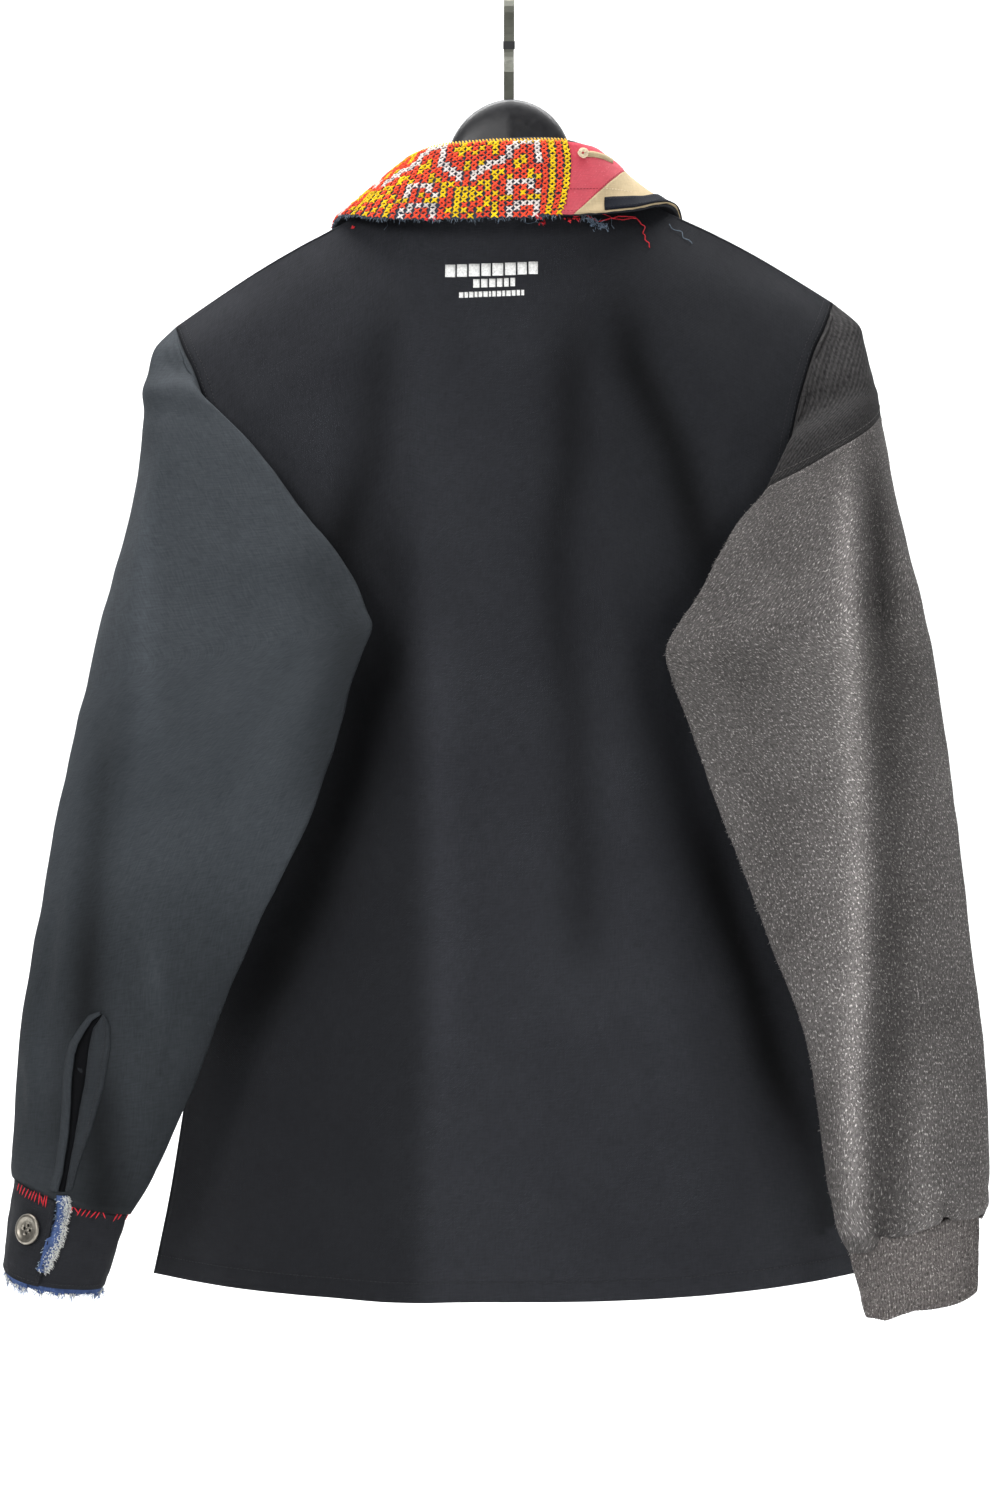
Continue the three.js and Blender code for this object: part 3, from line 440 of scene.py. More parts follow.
# Crossing threads: two sets of soft bands, with a twill slant, and slubs along them.
def buildWeave():
    tree, given, result = newGroup(
        "clothWeave",
        [("Cloth", vectorIn, (0, 0, 0)), ("Threads per Metre", numberIn, 1200.0), ("Slant", numberIn, 0.5)],
        [("Height", numberIn), ("Slub", numberIn)])
    split = addNode(tree, "ShaderNodeSeparateXYZ", {0: given["Cloth"]}).outputs
    def band(value):
        turns = calculate(tree, "MULTIPLY", value, given["Threads per Metre"])
        return calculate(tree, "SINE", calculate(tree, "MULTIPLY", turns, 2 * math.pi))
    plain = calculate(tree, "MULTIPLY", band(split["X"]), band(split["Y"]))
    twill = band(calculate(tree, "MULTIPLY", calculate(tree, "ADD", split["X"], split["Y"]), 0.5))
    both = addNode(tree, "ShaderNodeMix", {"Factor": given["Slant"], "A": plain, "B": twill}).outputs[0]
    slubs = [noise(tree, multiplied(tree, given["Cloth"], stretch), 1.0) for stretch in ((900, 120, 1),
                                                                                         (120, 900, 1))]
    slub = calculate(tree, "MULTIPLY", calculate(tree, "ADD", *slubs), 0.5)
    fillInputs(tree, result, {"Height": calculate(tree, "MULTIPLY_ADD", both, 0.4, slub), "Slub": slub})
    return tree


# Wash wear: large soft patches, and fine pale lint.
def buildWear():
    tree, given, result = newGroup(
        "washWear",
        [("Place", vectorIn, (0, 0, 0)), ("Base", colourIn, (0, 0, 0, 1)), ("Faded", colourIn, (1, 1, 1, 1)),
         ("Patch Amount", numberIn, 0.3), ("Lint Amount", numberIn, 0.2)],
        [("Colour", colourIn)])
    patch = remapped(tree, noise(tree, given["Place"], 9.0, 4.0, 0.6), 0.35, 0.7)
    lint = remapped(tree, noise(tree, given["Place"], 700.0, 1.0), 0.66, 0.74)
    amounts = [calculate(tree, "MULTIPLY", mask, given[key])
               for mask, key in ((patch, "Patch Amount"), (lint, "Lint Amount"))]
    total = addNode(tree, "ShaderNodeMath", dict(enumerate(amounts)), operation="ADD",
                    use_clamp=True).outputs[0]
    fillInputs(tree, result, {"Colour": mixed(tree, total, given["Base"], given["Faded"])})
    return tree


weaveGroup = buildWeave()
wearGroup = buildWear()
paintedFoldLightGroup = buildPaintedFoldLight()


def linear(colour):
    def one(c):
        c /= 255
        return c / 12.92 if c <= 0.04045 else ((c + 0.055) / 1.055) ** 2.4
    return tuple(one(c) for c in colour) + (1.0,)


def startMaterial(name, roughness, sheen=0.0, sheenTint=(200, 200, 200)):
    material = bpy.data.materials.new(name)
    material.use_nodes = True
    shader = material.node_tree.nodes["Principled BSDF"]
    fillInputs(material.node_tree, shader, {
        "Roughness": roughness, "Specular IOR Level": 0.12, "Sheen Weight": sheen, "Sheen Roughness": 0.6,
        "Sheen Tint": linear(sheenTint)})
    return material, material.node_tree, shader


# Connects the colour and a relief of the given depth in metres, and hands back the material.
def endMaterial(material, shader, colour, height, depth, strength):
    tree = material.node_tree
    bump = addNode(tree, "ShaderNodeBump", {"Height": height, "Distance": depth, "Strength": strength})
    fillInputs(tree, shader, {"Base Color": colour, "Normal": bump.outputs["Normal"]})
    return material


def clothAndPlace(tree):
    return (addNode(tree, "ShaderNodeUVMap", uv_map="cloth").outputs["UV"],
            addNode(tree, "ShaderNodeTexCoord").outputs["Object"])


def wovenCloth(name, base, faded, threads=1100, slant=0.6, bump=0.00025, patch=0.3, lint=0.25,
               slubShade=0.25):
    material, tree, shader = startMaterial(name, 0.85)
    cloth, place = clothAndPlace(tree)
    weave = useGroup(tree, weaveGroup, {"Cloth": cloth, "Threads per Metre": threads, "Slant": slant})
    wear = useGroup(tree, wearGroup, {"Place": place, "Base": linear(base), "Faded": linear(faded),
                                      "Patch Amount": patch, "Lint Amount": lint})
    shade = remapped(tree, weave["Slub"], 0.3, 0.7, 1 - slubShade, 1 + slubShade)
    folded = useGroup(tree, paintedFoldLightGroup, {"Colour": multiplied(tree, wear["Colour"], shade)})
    return endMaterial(material, shader, folded["Colour"], weave["Height"], bump, 0.6)


# Brushed sweatshirt jersey: dark and light fibres, pale flecks of nap, and the knit's wales.
def brushedKnit(name, dark, light, fleck, flecks=0.5, wale=330, ribDepth=0.0, slantedLines=0.0):
    material, tree, shader = startMaterial(name, 0.95, 0.25, light)
    cloth, place = clothAndPlace(tree)
    stretched = multiplied(tree, cloth, (1, 0.55, 1))
    coarse = noise(tree, stretched, 620.0, 3.0, 0.65)
    fibres = mixed(tree, remapped(tree, coarse, 0.32, 0.68), linear(dark), linear(light))
    napMask = remapped(tree, noise(tree, stretched, 900.0, 1.5), 0.58, 0.72, 0.0, flecks)
    broad = remapped(tree, noise(tree, place, 14.0, 3.0), 0.3, 0.7, 0.8, 1.2)
    toned = multiplied(tree, mixed(tree, napMask, fibres, linear(fleck)), broad)
    split = addNode(tree, "ShaderNodeSeparateXYZ", {0: cloth}).outputs
    skew = calculate(tree, "MULTIPLY_ADD", split["Y"], slantedLines, split["X"])
    wales = calculate(tree, "SINE", calculate(tree, "MULTIPLY", skew, wale * 2 * math.pi))
    lined = multiplied(tree, toned, calculate(tree, "MULTIPLY_ADD", wales, ribDepth, 1.0))
    folded = useGroup(tree, paintedFoldLightGroup, {"Colour": lined})
    height = calculate(tree, "MULTIPLY_ADD", wales, 0.3, coarse)
    return endMaterial(material, shader, folded["Colour"], height, 0.0008, 0.7)


def threadFinish(name, colour=None, pale=None, attribute=None):
    material, tree, shader = startMaterial(name, 0.8, 0.15)
    place = addNode(tree, "ShaderNodeTexCoord").outputs["Object"]
    fuzz = noise(tree, place, 900.0, 3.0)
    if attribute:
        source = addNode(tree, "ShaderNodeAttribute", attribute_name=attribute).outputs["Color"]
    else:
        source = mixed(tree, noise(tree, place, 60.0), linear(colour), linear(pale))
    toned = multiplied(tree, source, remapped(tree, fuzz, 0.3, 0.7, 0.72, 1.15))
    return endMaterial(material, shader, toned, fuzz, 0.0003, 0.5)


def smoothFinish(name, colour, wornAndPaintedLight, roughness, metallic, scale, bump):
    material, tree, shader = startMaterial(name, roughness)
    grain = noise(tree, addNode(tree, "ShaderNodeTexCoord").outputs["Object"], scale, 5.0)
    rough = remapped(tree, grain, 0.0, 1.0, roughness - 0.12, roughness + 0.12)
    fillInputs(tree, shader, {"Metallic": metallic, "Specular IOR Level": 0.5, "Roughness": rough})
    return endMaterial(material, shader, mixed(tree, grain, linear(colour), linear(wornAndPaintedLight)), grain, bump, 0.4)


finishes = {
    "blackTwill": wovenCloth("blackTwill", (37, 38, 42), (56, 58, 62), patch=0.25, lint=0.12),
    "slateShirting": wovenCloth("slateShirting", (52, 56, 60), (74, 78, 82), threads=1300, slant=0.2,
                                patch=0.25,
                                lint=0.12),
    "greyJersey": brushedKnit("greyJersey", (56, 54, 53), (92, 89, 88), (190, 185, 182), flecks=0.62),
    "greyCap": brushedKnit("greyCap", (28, 27, 28), (56, 55, 55), (100, 97, 94), flecks=0.15, wale=260,
                           ribDepth=0.25, slantedLines=1.0),
    "greyRib": brushedKnit("greyRib", (58, 55, 54), (108, 103, 101), (196, 190, 186), flecks=0.6, wale=420,
                           ribDepth=0.15),
    "navyGround": wovenCloth("navyGround", (38, 50, 66), (110, 122, 136), threads=900, slant=0.0, bump=0.0006,
                             patch=0.4, lint=0.5),
    "rosyCotton": wovenCloth("rosyCotton", (184, 62, 76), (222, 128, 136), threads=1000, slant=0.0, patch=0.6,
                             lint=0.3, slubShade=0.12),
    "creamCotton": wovenCloth("creamCotton", (176, 157, 124), (208, 192, 160), threads=900, slant=0.0,
                              patch=0.5,
                              lint=0.2, slubShade=0.12),
    "inkCotton": wovenCloth("inkCotton", (10, 14, 24), (30, 36, 46), threads=1000, slant=0.0),
    "blueDenim": wovenCloth("blueDenim", (24, 40, 82), (84, 104, 146), threads=700, slant=0.9, patch=0.8,
                            lint=0.9, slubShade=0.4),
    "floss": threadFinish("floss", attribute="tint"),
}
# two tones for each thread
threadColours = {
    "denimThread": ((54, 76, 120), (130, 150, 186)),
    "napFibre": ((120, 116, 113), (186, 182, 178)),
    "darkRedThread": ((120, 30, 44), (150, 44, 58)),
    "brightRedThread": ((228, 26, 44), (240, 60, 66)),
    "redThread": ((186, 22, 40), (220, 50, 62)),
    "blackThread": ((24, 25, 28), (44, 45, 48)),
    "greyThread": ((58, 56, 55), (92, 90, 88)),
    "whiteThread": ((206, 210, 212), (252, 250, 240)),
    "goldThread": ((214, 150, 24), (240, 200, 60)),
    "blueThread": ((70, 96, 128), (170, 186, 200)),
    "navyThread": ((38, 50, 66), (112, 126, 138)),
    "creamThread": ((206, 188, 154), (230, 216, 190)),
    "plainPrint": ((232, 232, 230), (245, 245, 243)),
}
finishes |= {name: threadFinish(name, *colours) for name, colours in threadColours.items()}
# colour, worn colour, roughness, metallic, scale of the grain, depth of its relief
hardFinishes = {
    "pewter": ((96, 92, 86), (168, 162, 150), 0.38, 1.0, 300, 0.0002),
    "hangerPlastic": ((24, 24, 27), (34, 34, 37), 0.36, 0.0, 240, 0.00005),
    "hookSteel": ((70, 71, 63), (96, 97, 88), 0.42, 0.6, 120, 0.00005),
    "capRubber": ((14, 14, 16), (26, 26, 28), 0.6, 0.0, 200, 0.00005),
}
finishes |= {name: smoothFinish(name, *values) for name, values in hardFinishes.items()}
print("finishes ready:", len(finishes))


# A band of cloth between two paths of (x, z) on a surface; lifts gives its height from side to side.
def ribbon(name, tree, pathA, pathB, lifts, thickness, material, ragged=0.0, wear=None,
           spacing=1.2):
    paths = [np.asarray(path, float) for path in (pathA, pathB)]
    rows = max(4, int(max(arcLengths(path)[-1] for path in paths) / spacing))
    a, b = (readAlong(path, arcLengths(path), np.linspace(0, arcLengths(path)[-1], rows)) for path in paths)
    if ragged:
        local = np.random.default_rng(1)
        a = a + local.normal(size=a.shape) * ragged
        b = b + local.normal(size=b.shape) * ragged
    columns = len(lifts)
    flat = mix(a[:, None], b[:, None], np.linspace(0, 1, columns)[None, :, None])
    points, normals = (found.reshape(rows, columns, 3) for found in onSurface(tree, flat.reshape(-1, 2)))
    smoothed = normals.copy()
    smoothed[1:-1] = (normals[:-2] + 2 * normals[1:-1] + normals[2:]) / 4
    lift = np.array(lifts)[None, :, None] + softNoise(points, 6, 1)[..., None] * 0.12
    grid = points + unit(smoothed) * lift
    outward = gridNormals(grid, 1)
    if outward[..., 1].mean() > 0:
        outward = -outward
    piece = clothWall(name, grid, outward, thickness, wear=wear)
    finish(piece, finishes[material])
    declareSheet(grid)
    return piece, grid, outward


# Short loose threads that start at points and run along a direction, drooping and curling.
def looseThreads(name, points, direction, lengths, radius, material, seed, spread=0.5, droop=0.25):
    local = np.random.default_rng(seed)
    paths = []
    for p, d in zip(points, np.broadcast_to(direction, np.shape(points))):
        length = local.uniform(*lengths)
        d = unit(d + local.normal(size=3) * spread)
        bend = local.normal(size=3) * spread
        t = np.linspace(0, 1, 4)[:, None]
        paths.append(p + d * length * t + (bend * 0.35 - np.array([0, 0, droop])) * length * t ** 2)
    radii = local.uniform(radius * 0.7, radius * 1.3, len(paths))
    return finish(threadMesh(name, paths, radii, 3), finishes[material])


def pickAlong(line, count, seed):
    lengths = arcLengths(line)
    return readAlong(line, lengths, np.random.default_rng(seed).uniform(0, lengths[-1], count))


def pickOver(grid, count, seed):
    local = np.random.default_rng(seed)
    return local.uniform((1, 1), (grid.shape[0] - 2, grid.shape[1] - 2), (count, 2)).T


body = {
    "offset": -3, "tilt": 0.036, "shoulderHalf": 226, "shoulderZ": -215, "hemZ": -873, "armholeEnd": 11,
    "thickness": 1.3, "seamGap": 0.3, "rowSteps": 8, "columnSteps": 6, "underLap": 3.4, "placketLift": 1.5,
    # z, backHalf, backY, frontHalf, frontY, backCentre, frontCentre, backSettled, frontSettled
    "rows": [
        (-215, 226, 15, 226, 15, -28, 75, 0, 0), (-234, 218, -6, 221, 32, -34, 75, 0.5, 0.12),
        (-252, 209, -18, 214, 42, -38, 75, 0.78, 0.26), (-275, 201, -27, 208, 50, -42, 75, 0.92, 0.45),
        (-297, 195, -33, 204, 55, -46, 75, 1, 0.62), (-321, 190, -38, 202, 58, -49, 75, 1, 0.78),
        (-346, 187, -41, 202, 59, -51, 75, 1, 0.9), (-371, 184, -42, 203, 57, -53, 74, 1, 1),
        (-396, 182, -41, 204, 50, -55, 74, 1, 1), (-419, 181, -38, 202, 38, -57, 73, 1, 1),
        (-440, 181, -33, 195, 14, -58, 73, 1, 1), (-458, 182, -24, 182, -24, -60, 73, 1, 1),
        (-498, 186, -16, 186, -16, -63, 72, 1, 1), (-548, 191, -10, 191, -10, -66, 72, 1, 1),
        (-603, 198, -5, 198, -5, -70, 71, 1, 1), (-658, 205, 0, 205, 0, -74, 71, 1, 1),
        (-713, 213, 4, 213, 4, -78, 71, 1, 1), (-766, 221, 8, 221, 8, -82, 71, 1, 1),
        (-815, 229, 10, 229, 10, -85, 72, 1, 1), (-850, 236, 11, 236, 11, -87, 72, 1, 1),
        (-873, 241, 12, 241, 12, -88, 72, 1, 1),
    ],
    "shoulderSeam": [(226, 15, -215), (200, 10, -199), (170, 4, -181.5), (140, -1, -166), (108, -3, -150.5),
                     (73, 0, -130)],
    "backNeck": [(58, -15, -135.5), (39, -24, -141), (20, -27, -144), (0, -28, -145)],
    "frontNeck": [(76, 20, -140), (70, 42, -159), (55, 60, -179), (36, 70, -194), (17, 74, -202),
                  (0, 75, -204)],
    # depth in (+) or out (-), half width, path of (x, z)
    "backFolds": [
        (13, 24, [(-79, -219), (-88, -304), (-82, -414), (-98, -519), (-146, -606), (-189, -718)]),
        (-7, 26, [(-47, -424), (-55, -553), (-60, -662), (-66, -771), (-66, -880)]),
        (7, 26, [(36, -219), (36, -416), (40, -599)]),
        (-6, 26, [(72, -350), (86, -481), (99, -612), (125, -743)]),
        (10, 24, [(62, -206), (88, -263), (114, -328), (127, -380)]),
        (14, 26, [(86, -432), (118, -484), (138, -566), (164, -662), (192, -762), (214, -832)]),
    ],
    # small creases of the back and of the fronts
    "backCreases": [
        (1.6, 7, [(-196, -520), (-168, -566), (-140, -640)]),
        (-1.4, 6, [(-190, -500), (-160, -540), (-128, -588)]),
        (1.4, 8, [(-30, -190), (-24, -240), (-30, -300)]), (-1.3, 9, [(18, -180), (22, -236), (16, -290)]),
        (1.8, 8, [(-176, -280), (-150, -330), (-140, -400)]),
        (-1.5, 7, [(160, -270), (142, -330), (138, -396)]),
        (1.8, 8, [(176, -480), (150, -540), (138, -600)]), (-1.6, 7, [(184, -520), (166, -590), (158, -650)]),
        (1.4, 9, [(-100, -760), (-92, -810), (-96, -860)]), (-1.4, 9, [(20, -700), (26, -780), (18, -850)]),
        (1.3, 8, [(96, -760), (108, -810), (112, -866)]),
        (-1.2, 7, [(-120, -640), (-112, -720), (-120, -800)]),
    ],
    "frontCreases": [
        (2.4, 9, [(-150, -260), (-120, -340), (-100, -440)]),
        (-2.0, 9, [(-176, -420), (-130, -470), (-90, -540)]),
        (2.4, 9, [(150, -260), (124, -340), (104, -440)]), (-2.0, 9, [(176, -420), (134, -470), (92, -540)]),
        (1.8, 10, [(-80, -560), (-90, -680), (-84, -840)]),
        (-1.8, 10, [(-140, -600), (-150, -720), (-160, -860)]),
        (1.8, 10, [(86, -560), (92, -680), (88, -840)]), (-1.8, 10, [(140, -600), (156, -720), (162, -860)]),
        (1.6, 8, [(-40, -240), (-60, -300), (-70, -380)]), (1.6, 8, [(44, -240), (62, -300), (70, -380)]),
    ],
    # size, stretch and depth of the cloth's broad and fine ripples
    "ripples": [(62, (1, 0.6, 0.45), 0.55), (23, (1, 1, 0.6), 0.16)],
    "hemTurn": 13, "hemPucker": 0.9,
    # painted shade (below 0) and painted highlight (above 0) on the back along folds: amount, half width,
    # path
    "bands": [
        (-0.42, 15, [(40, -200), (40, -317), (31, -376), (34, -435), (42, -494), (47, -580), (48, -680)]),
        (-0.5, 15, [(70, -190), (84, -258), (112, -317), (127, -376), (134, -430)]),
        (-0.4, 28, [(86, -440), (98, -494), (120, -553), (142, -612), (166, -672), (182, -731), (214, -800)]),
        (-0.42, 15, [(-78, -190), (-88, -258), (-92, -317), (-112, -376), (-120, -430)]),
        (-0.34, 24, [(-74, -410), (-82, -450), (-96, -494), (-112, -553), (-130, -612), (-164, -672),
                     (-200, -740)]),
        (0.22, 12, [(-48, -400), (-44, -494), (-40, -620), (-42, -760)]),
        (-0.5, 13, [(122, -540), (146, -625), (163, -671), (179, -730), (206, -789), (219, -842)]),
    ],
    # painted shade over planes turned out of the light: amount, softness, side of the path (-1 left, 1
    # right), path
    "planes": [
        (-0.46, 26, -1, [(-74, -300), (-64, -420), (-57, -553), (-55, -662), (-55, -771), (-57, -900)]),
        (-0.3, 90, 1, [(30, -60), (34, -300), (60, -520)]),
    ],
}


# How far painted shade darkens the cloth (below 0) or a painted highlight lightens it (above 0) at each
# point.
def paintedLightOf(grid, bands, planes=()):
    x, z = grid[..., 0], grid[..., 2]
    tone = foldSum(x, z, bands, 70.0, -800)
    for amount, soft, side, path in planes:
        edge = np.interp(-z, [-p[1] for p in path], [p[0] for p in path])
        share = smooth((x - edge) * side / soft + 0.5)
        foot = path[-1][1]
        fade = smooth((path[0][1] - z) / 110) * smooth((z - foot) / 80 + (1 if foot < -800 else 0))
        tone = tone + amount * share * fade
    return tone


def foldSum(x, z, folds, fadeLength=60.0, bottom=-873):
    total = np.zeros(np.shape(x))
    for depth, width, path in folds:
        top, foot = path[0][1], path[-1][1]
        for (x0, z0), (x1, z1) in zip(path, path[1:]):
            inside = (z <= z0) & (z > z1)
            along = (z0 - z) / (z0 - z1)
            running = 1 if foot < bottom else 0
            fade = smooth((top - z) / fadeLength) * smooth((z - foot) / fadeLength + running)
            total += np.where(inside, depth * fade * np.exp(-((x - mix(x0, x1, along)) / width) ** 2), 0)
    return total


def panelGrid(face, neck):
    half = body["shoulderSeam"] + neck
    top = np.array([(-x, y, z) for x, y, z in half] + half[:-1][::-1], float)
    evenSpread = np.linspace(-1, 1, len(top))
    grid = []
    for i, values in enumerate(body["rows"]):
        rowZ, backHalf, backY, frontHalf, frontY, backCentre, frontCentre, backSettled, frontSettled = values
        edgeHalf, edgeY, centreY, settled = (backHalf, backY, backCentre, backSettled) if face < 0 else (
            frontHalf, frontY, frontCentre, frontSettled)
        down = (body["shoulderZ"] - rowZ) / (body["shoulderZ"] - body["hemZ"])
        spread = mix(top[:, 0] / body["shoulderHalf"], evenSpread, smooth(down * 1.6))
        x = spread * edgeHalf
        edgeShare = np.abs(spread) ** 2.5
        hanging = top[:, 1] + (edgeY - 15) * edgeShare
        y = mix(hanging, mix(centreY, edgeY, edgeShare), settled)
        z = mix(top[:, 2], body["hemZ"], down)
        z = z + body["tilt"] * x * (1 - smooth(down))
        if face < 0 and i > 0:
            y = y + foldSum(x, z, body["backFolds"]) * smooth((1 - np.abs(spread)) * 5)
        grid.append(np.stack([x + body["offset"], y, z], -1))
    return np.array(grid)


backGrid = panelGrid(-1, body["backNeck"])
frontGrid = panelGrid(1, body["frontNeck"])


# How many coarse columns each fine column lies from the nearer edge.
def columnsFromEdge(columns, steps):
    at = np.arange(columns)
    return np.minimum(at, columns - 1 - at)[None, :] / steps


# Folds and puckers move a fine panel along its normals; seams stay where they are.
def creasePanel(grid, face, creases, seed):
    normals = gridNormals(grid, face)
    x, z = grid[..., 0] - body["offset"], grid[..., 2]
    shape = ripples(grid, body["ripples"], seed) - foldSum(x, z, creases, 45.0)
    rows, columns = grid.shape[:2]
    i = np.arange(rows)[:, None] / body["rowSteps"]
    edge = columnsFromEdge(columns, body["columnSteps"])
    fade = smooth(edge / 0.8) * smooth(i / 0.8)
    above = z - z[-1:, :]
    # the hem is pressed in along its stitches and puckers below them
    hem = np.exp(-((above - body["hemTurn"]) / 2.2) ** 2) * -0.8
    ripple = np.sin(x * 0.62 + np.sin(x * 0.11) * 2.2) * 0.5 + np.sin(x * 0.23 + 1.0) * 0.5
    hem = hem + ripple * body["hemPucker"] * np.exp(-((above - 8) / 9) ** 2) * smooth(above / 2 + 0.35)
    return grid + normals * (shape * fade + hem * smooth(edge * 2))[..., None]


def bodyPanelPiece(name, grid, face, node):
    # painted shade and highlight of the folds, at half strength on the fronts
    wear = paintedLightOf(grid, body["bands"], body["planes"]) * (1 if face < 0 else 0.5)
    return clothPiece(name, grid, gridNormals(grid, face), body["thickness"], "blackTwill", "black_cotton",
                      node,
                      "hung", "hanger", wear=wear)


fineSteps = (body["rowSteps"], body["columnSteps"])
backFine = creasePanel(fineGrid(backGrid, *fineSteps), -1, body["backCreases"], 3)
frontFine = creasePanel(fineGrid(frontGrid, *fineSteps), 1, body["frontCreases"], 8)
backPiece = bodyPanelPiece("back_cloth", backFine, -1, "back")

frontSplit = frontGrid.shape[1] // 2 * body["columnSteps"]


# The fronts reach one coarse column past the middle; the side that lies under steps back there.
def frontHalf(side):
    lap = body["columnSteps"]
    grid = frontFine[:, :frontSplit + lap + 1] if side < 0 else frontFine[:, frontSplit - lap:]
    grid = grid.copy()
    if side > 0:
        grid[..., 1] -= body["underLap"] * smooth((45 - (grid[..., 0] - body["offset"])) / 26)
    return grid


leftFrontFine, rightFrontFine = frontHalf(-1), frontHalf(1)
bodyPanelPiece("front_left_cloth", leftFrontFine, 1, "front_left")
bodyPanelPiece("front_right_cloth", rightFrontFine, 1, "front_right")
frontPlacket = frontFine[:, frontSplit - body["columnSteps"]:frontSplit + body["columnSteps"] + 1]
placketGrid = frontPlacket + gridNormals(frontPlacket, 1) * body["placketLift"]
bodyPanelPiece("front_placket_cloth", placketGrid, 1, "front_placket")
backTree = surfaceTree(backPiece)

backPrint = {
    # left, right, top, bottom, widths of the blocks, gap
    "rows": [(-42.7, 19.2, -187.9, -196.5, (6.5, 6.5, 7, 6, 7, 7, 6, 6), 1.2),
             (-24.0, 4.0, -198.6, -204.4, (4, 4, 4, 3.4, 3, 3), 1.1),
             (-33.4, 10.0, -207.2, -211.0, (3, 2.4, 3, 2, 2.6, 3, 1.6, 2.4, 3, 2, 3, 2.6, 2.4, 2), 0.75)],
    "steps": 3, "above": 0.14, "below": 0.1,
}


# Rows of plain printed blocks on the back, each one a thin plate that follows the cloth.
def printBlocks():
    vertices, faces = [], []
    steps, count = backPrint["steps"], backPrint["steps"] + 1
    rim = list(range(count)) + [b * count + steps for b in range(1, count)]
    rim += [steps * count + a for a in reversed(range(steps))] + [b * count for b in reversed(range(1,
                                                                                                    steps))]
    for left, right, top, bottom, widths, gap in backPrint["rows"]:
        scale = (right - left - gap * (len(widths) - 1)) / sum(widths)
        x = left
        for width in widths:
            grid = [(x + width * scale * a / steps, mix(top, bottom, b / steps) + body["tilt"] * x)
                    for b in range(count) for a in range(count)]
            points, normals = onSurface(backTree, grid)
            start = len(vertices)
            vertices += list(points + normals * backPrint["above"])
            vertices += list(points - normals * backPrint["below"])
            for b in range(steps):
                for a in range(steps):
                    k = start + b * count + a
                    faces.append([k, k + count, k + count + 1, k + 1])
                    k += count * count
                    faces.append([k, k + 1, k + count + 1, k + count])
            for p, q in zip(rim, rim[1:] + rim[:1]):
                faces.append([start + p, start + q, start + q + count * count, start + p + count * count])
            x += width * scale + gap
    finish(meshObject("back_print", np.array(vertices) * toMetres, faces), finishes["plainPrint"])


printBlocks()


# A line on a panel at a distance from its edge: side -1 or 1 for the left or right edge, 0 for the foot.
def edgeLine(grid, face, distance, side, low=0.0, high=1.0):
    normals = gridNormals(grid, face)
    rows, columns = grid.shape[:2]
    points, outs = [], []
    lines = range(int(rows * low), int((rows - 1) * high) + 1) if side else range(columns)
    for k in lines:
        line, out = (grid[k], normals[k]) if side else (grid[::-1, k], normals[::-1, k])
        line, out = (line[::-1], out[::-1]) if side > 0 else (line, out)
        lengths = arcLengths(line)
        points.append(readAlong(line, lengths, distance))
        outs.append(readAlong(out, lengths, distance))
    return np.array(points), unit(np.array(outs))


# Several stitched lines sewn as one piece.
def sewLines(name, lines, pitch, size, material, lift=0.12):
    runs = [stitchRun(points, normals, pitch, lift) for points, normals in lines]
    places, along, up = (np.concatenate([run[k] for run in runs]) for k in range(3))
    return sew(name, places, along, up, size, material)


armholeShare = body["armholeEnd"] / (len(body["rows"]) - 1)
panelEdges = [(backFine, -1, -1), (backFine, -1, 1), (leftFrontFine, 1, -1), (rightFrontFine, 1, 1)]
bodyLines = [edgeLine(grid, face, distance, side, 0.01, armholeShare)
             for distance in (2.2, 7.0) for grid, face, side in panelEdges]
bodyLines += [edgeLine(grid, face, body["hemTurn"], 0)
              for grid, face in ((backFine, -1), (leftFrontFine, 1), (rightFrontFine, 1))]
bodyLines += [edgeLine(placketGrid, 1, 2.0, side, 0.02, 0.99) for side in (-1, 1)]
sewLines("body_topstitches", bodyLines, 3.0, (2.5, 0.55, 0.45), "blackThread")
print("body sewn")


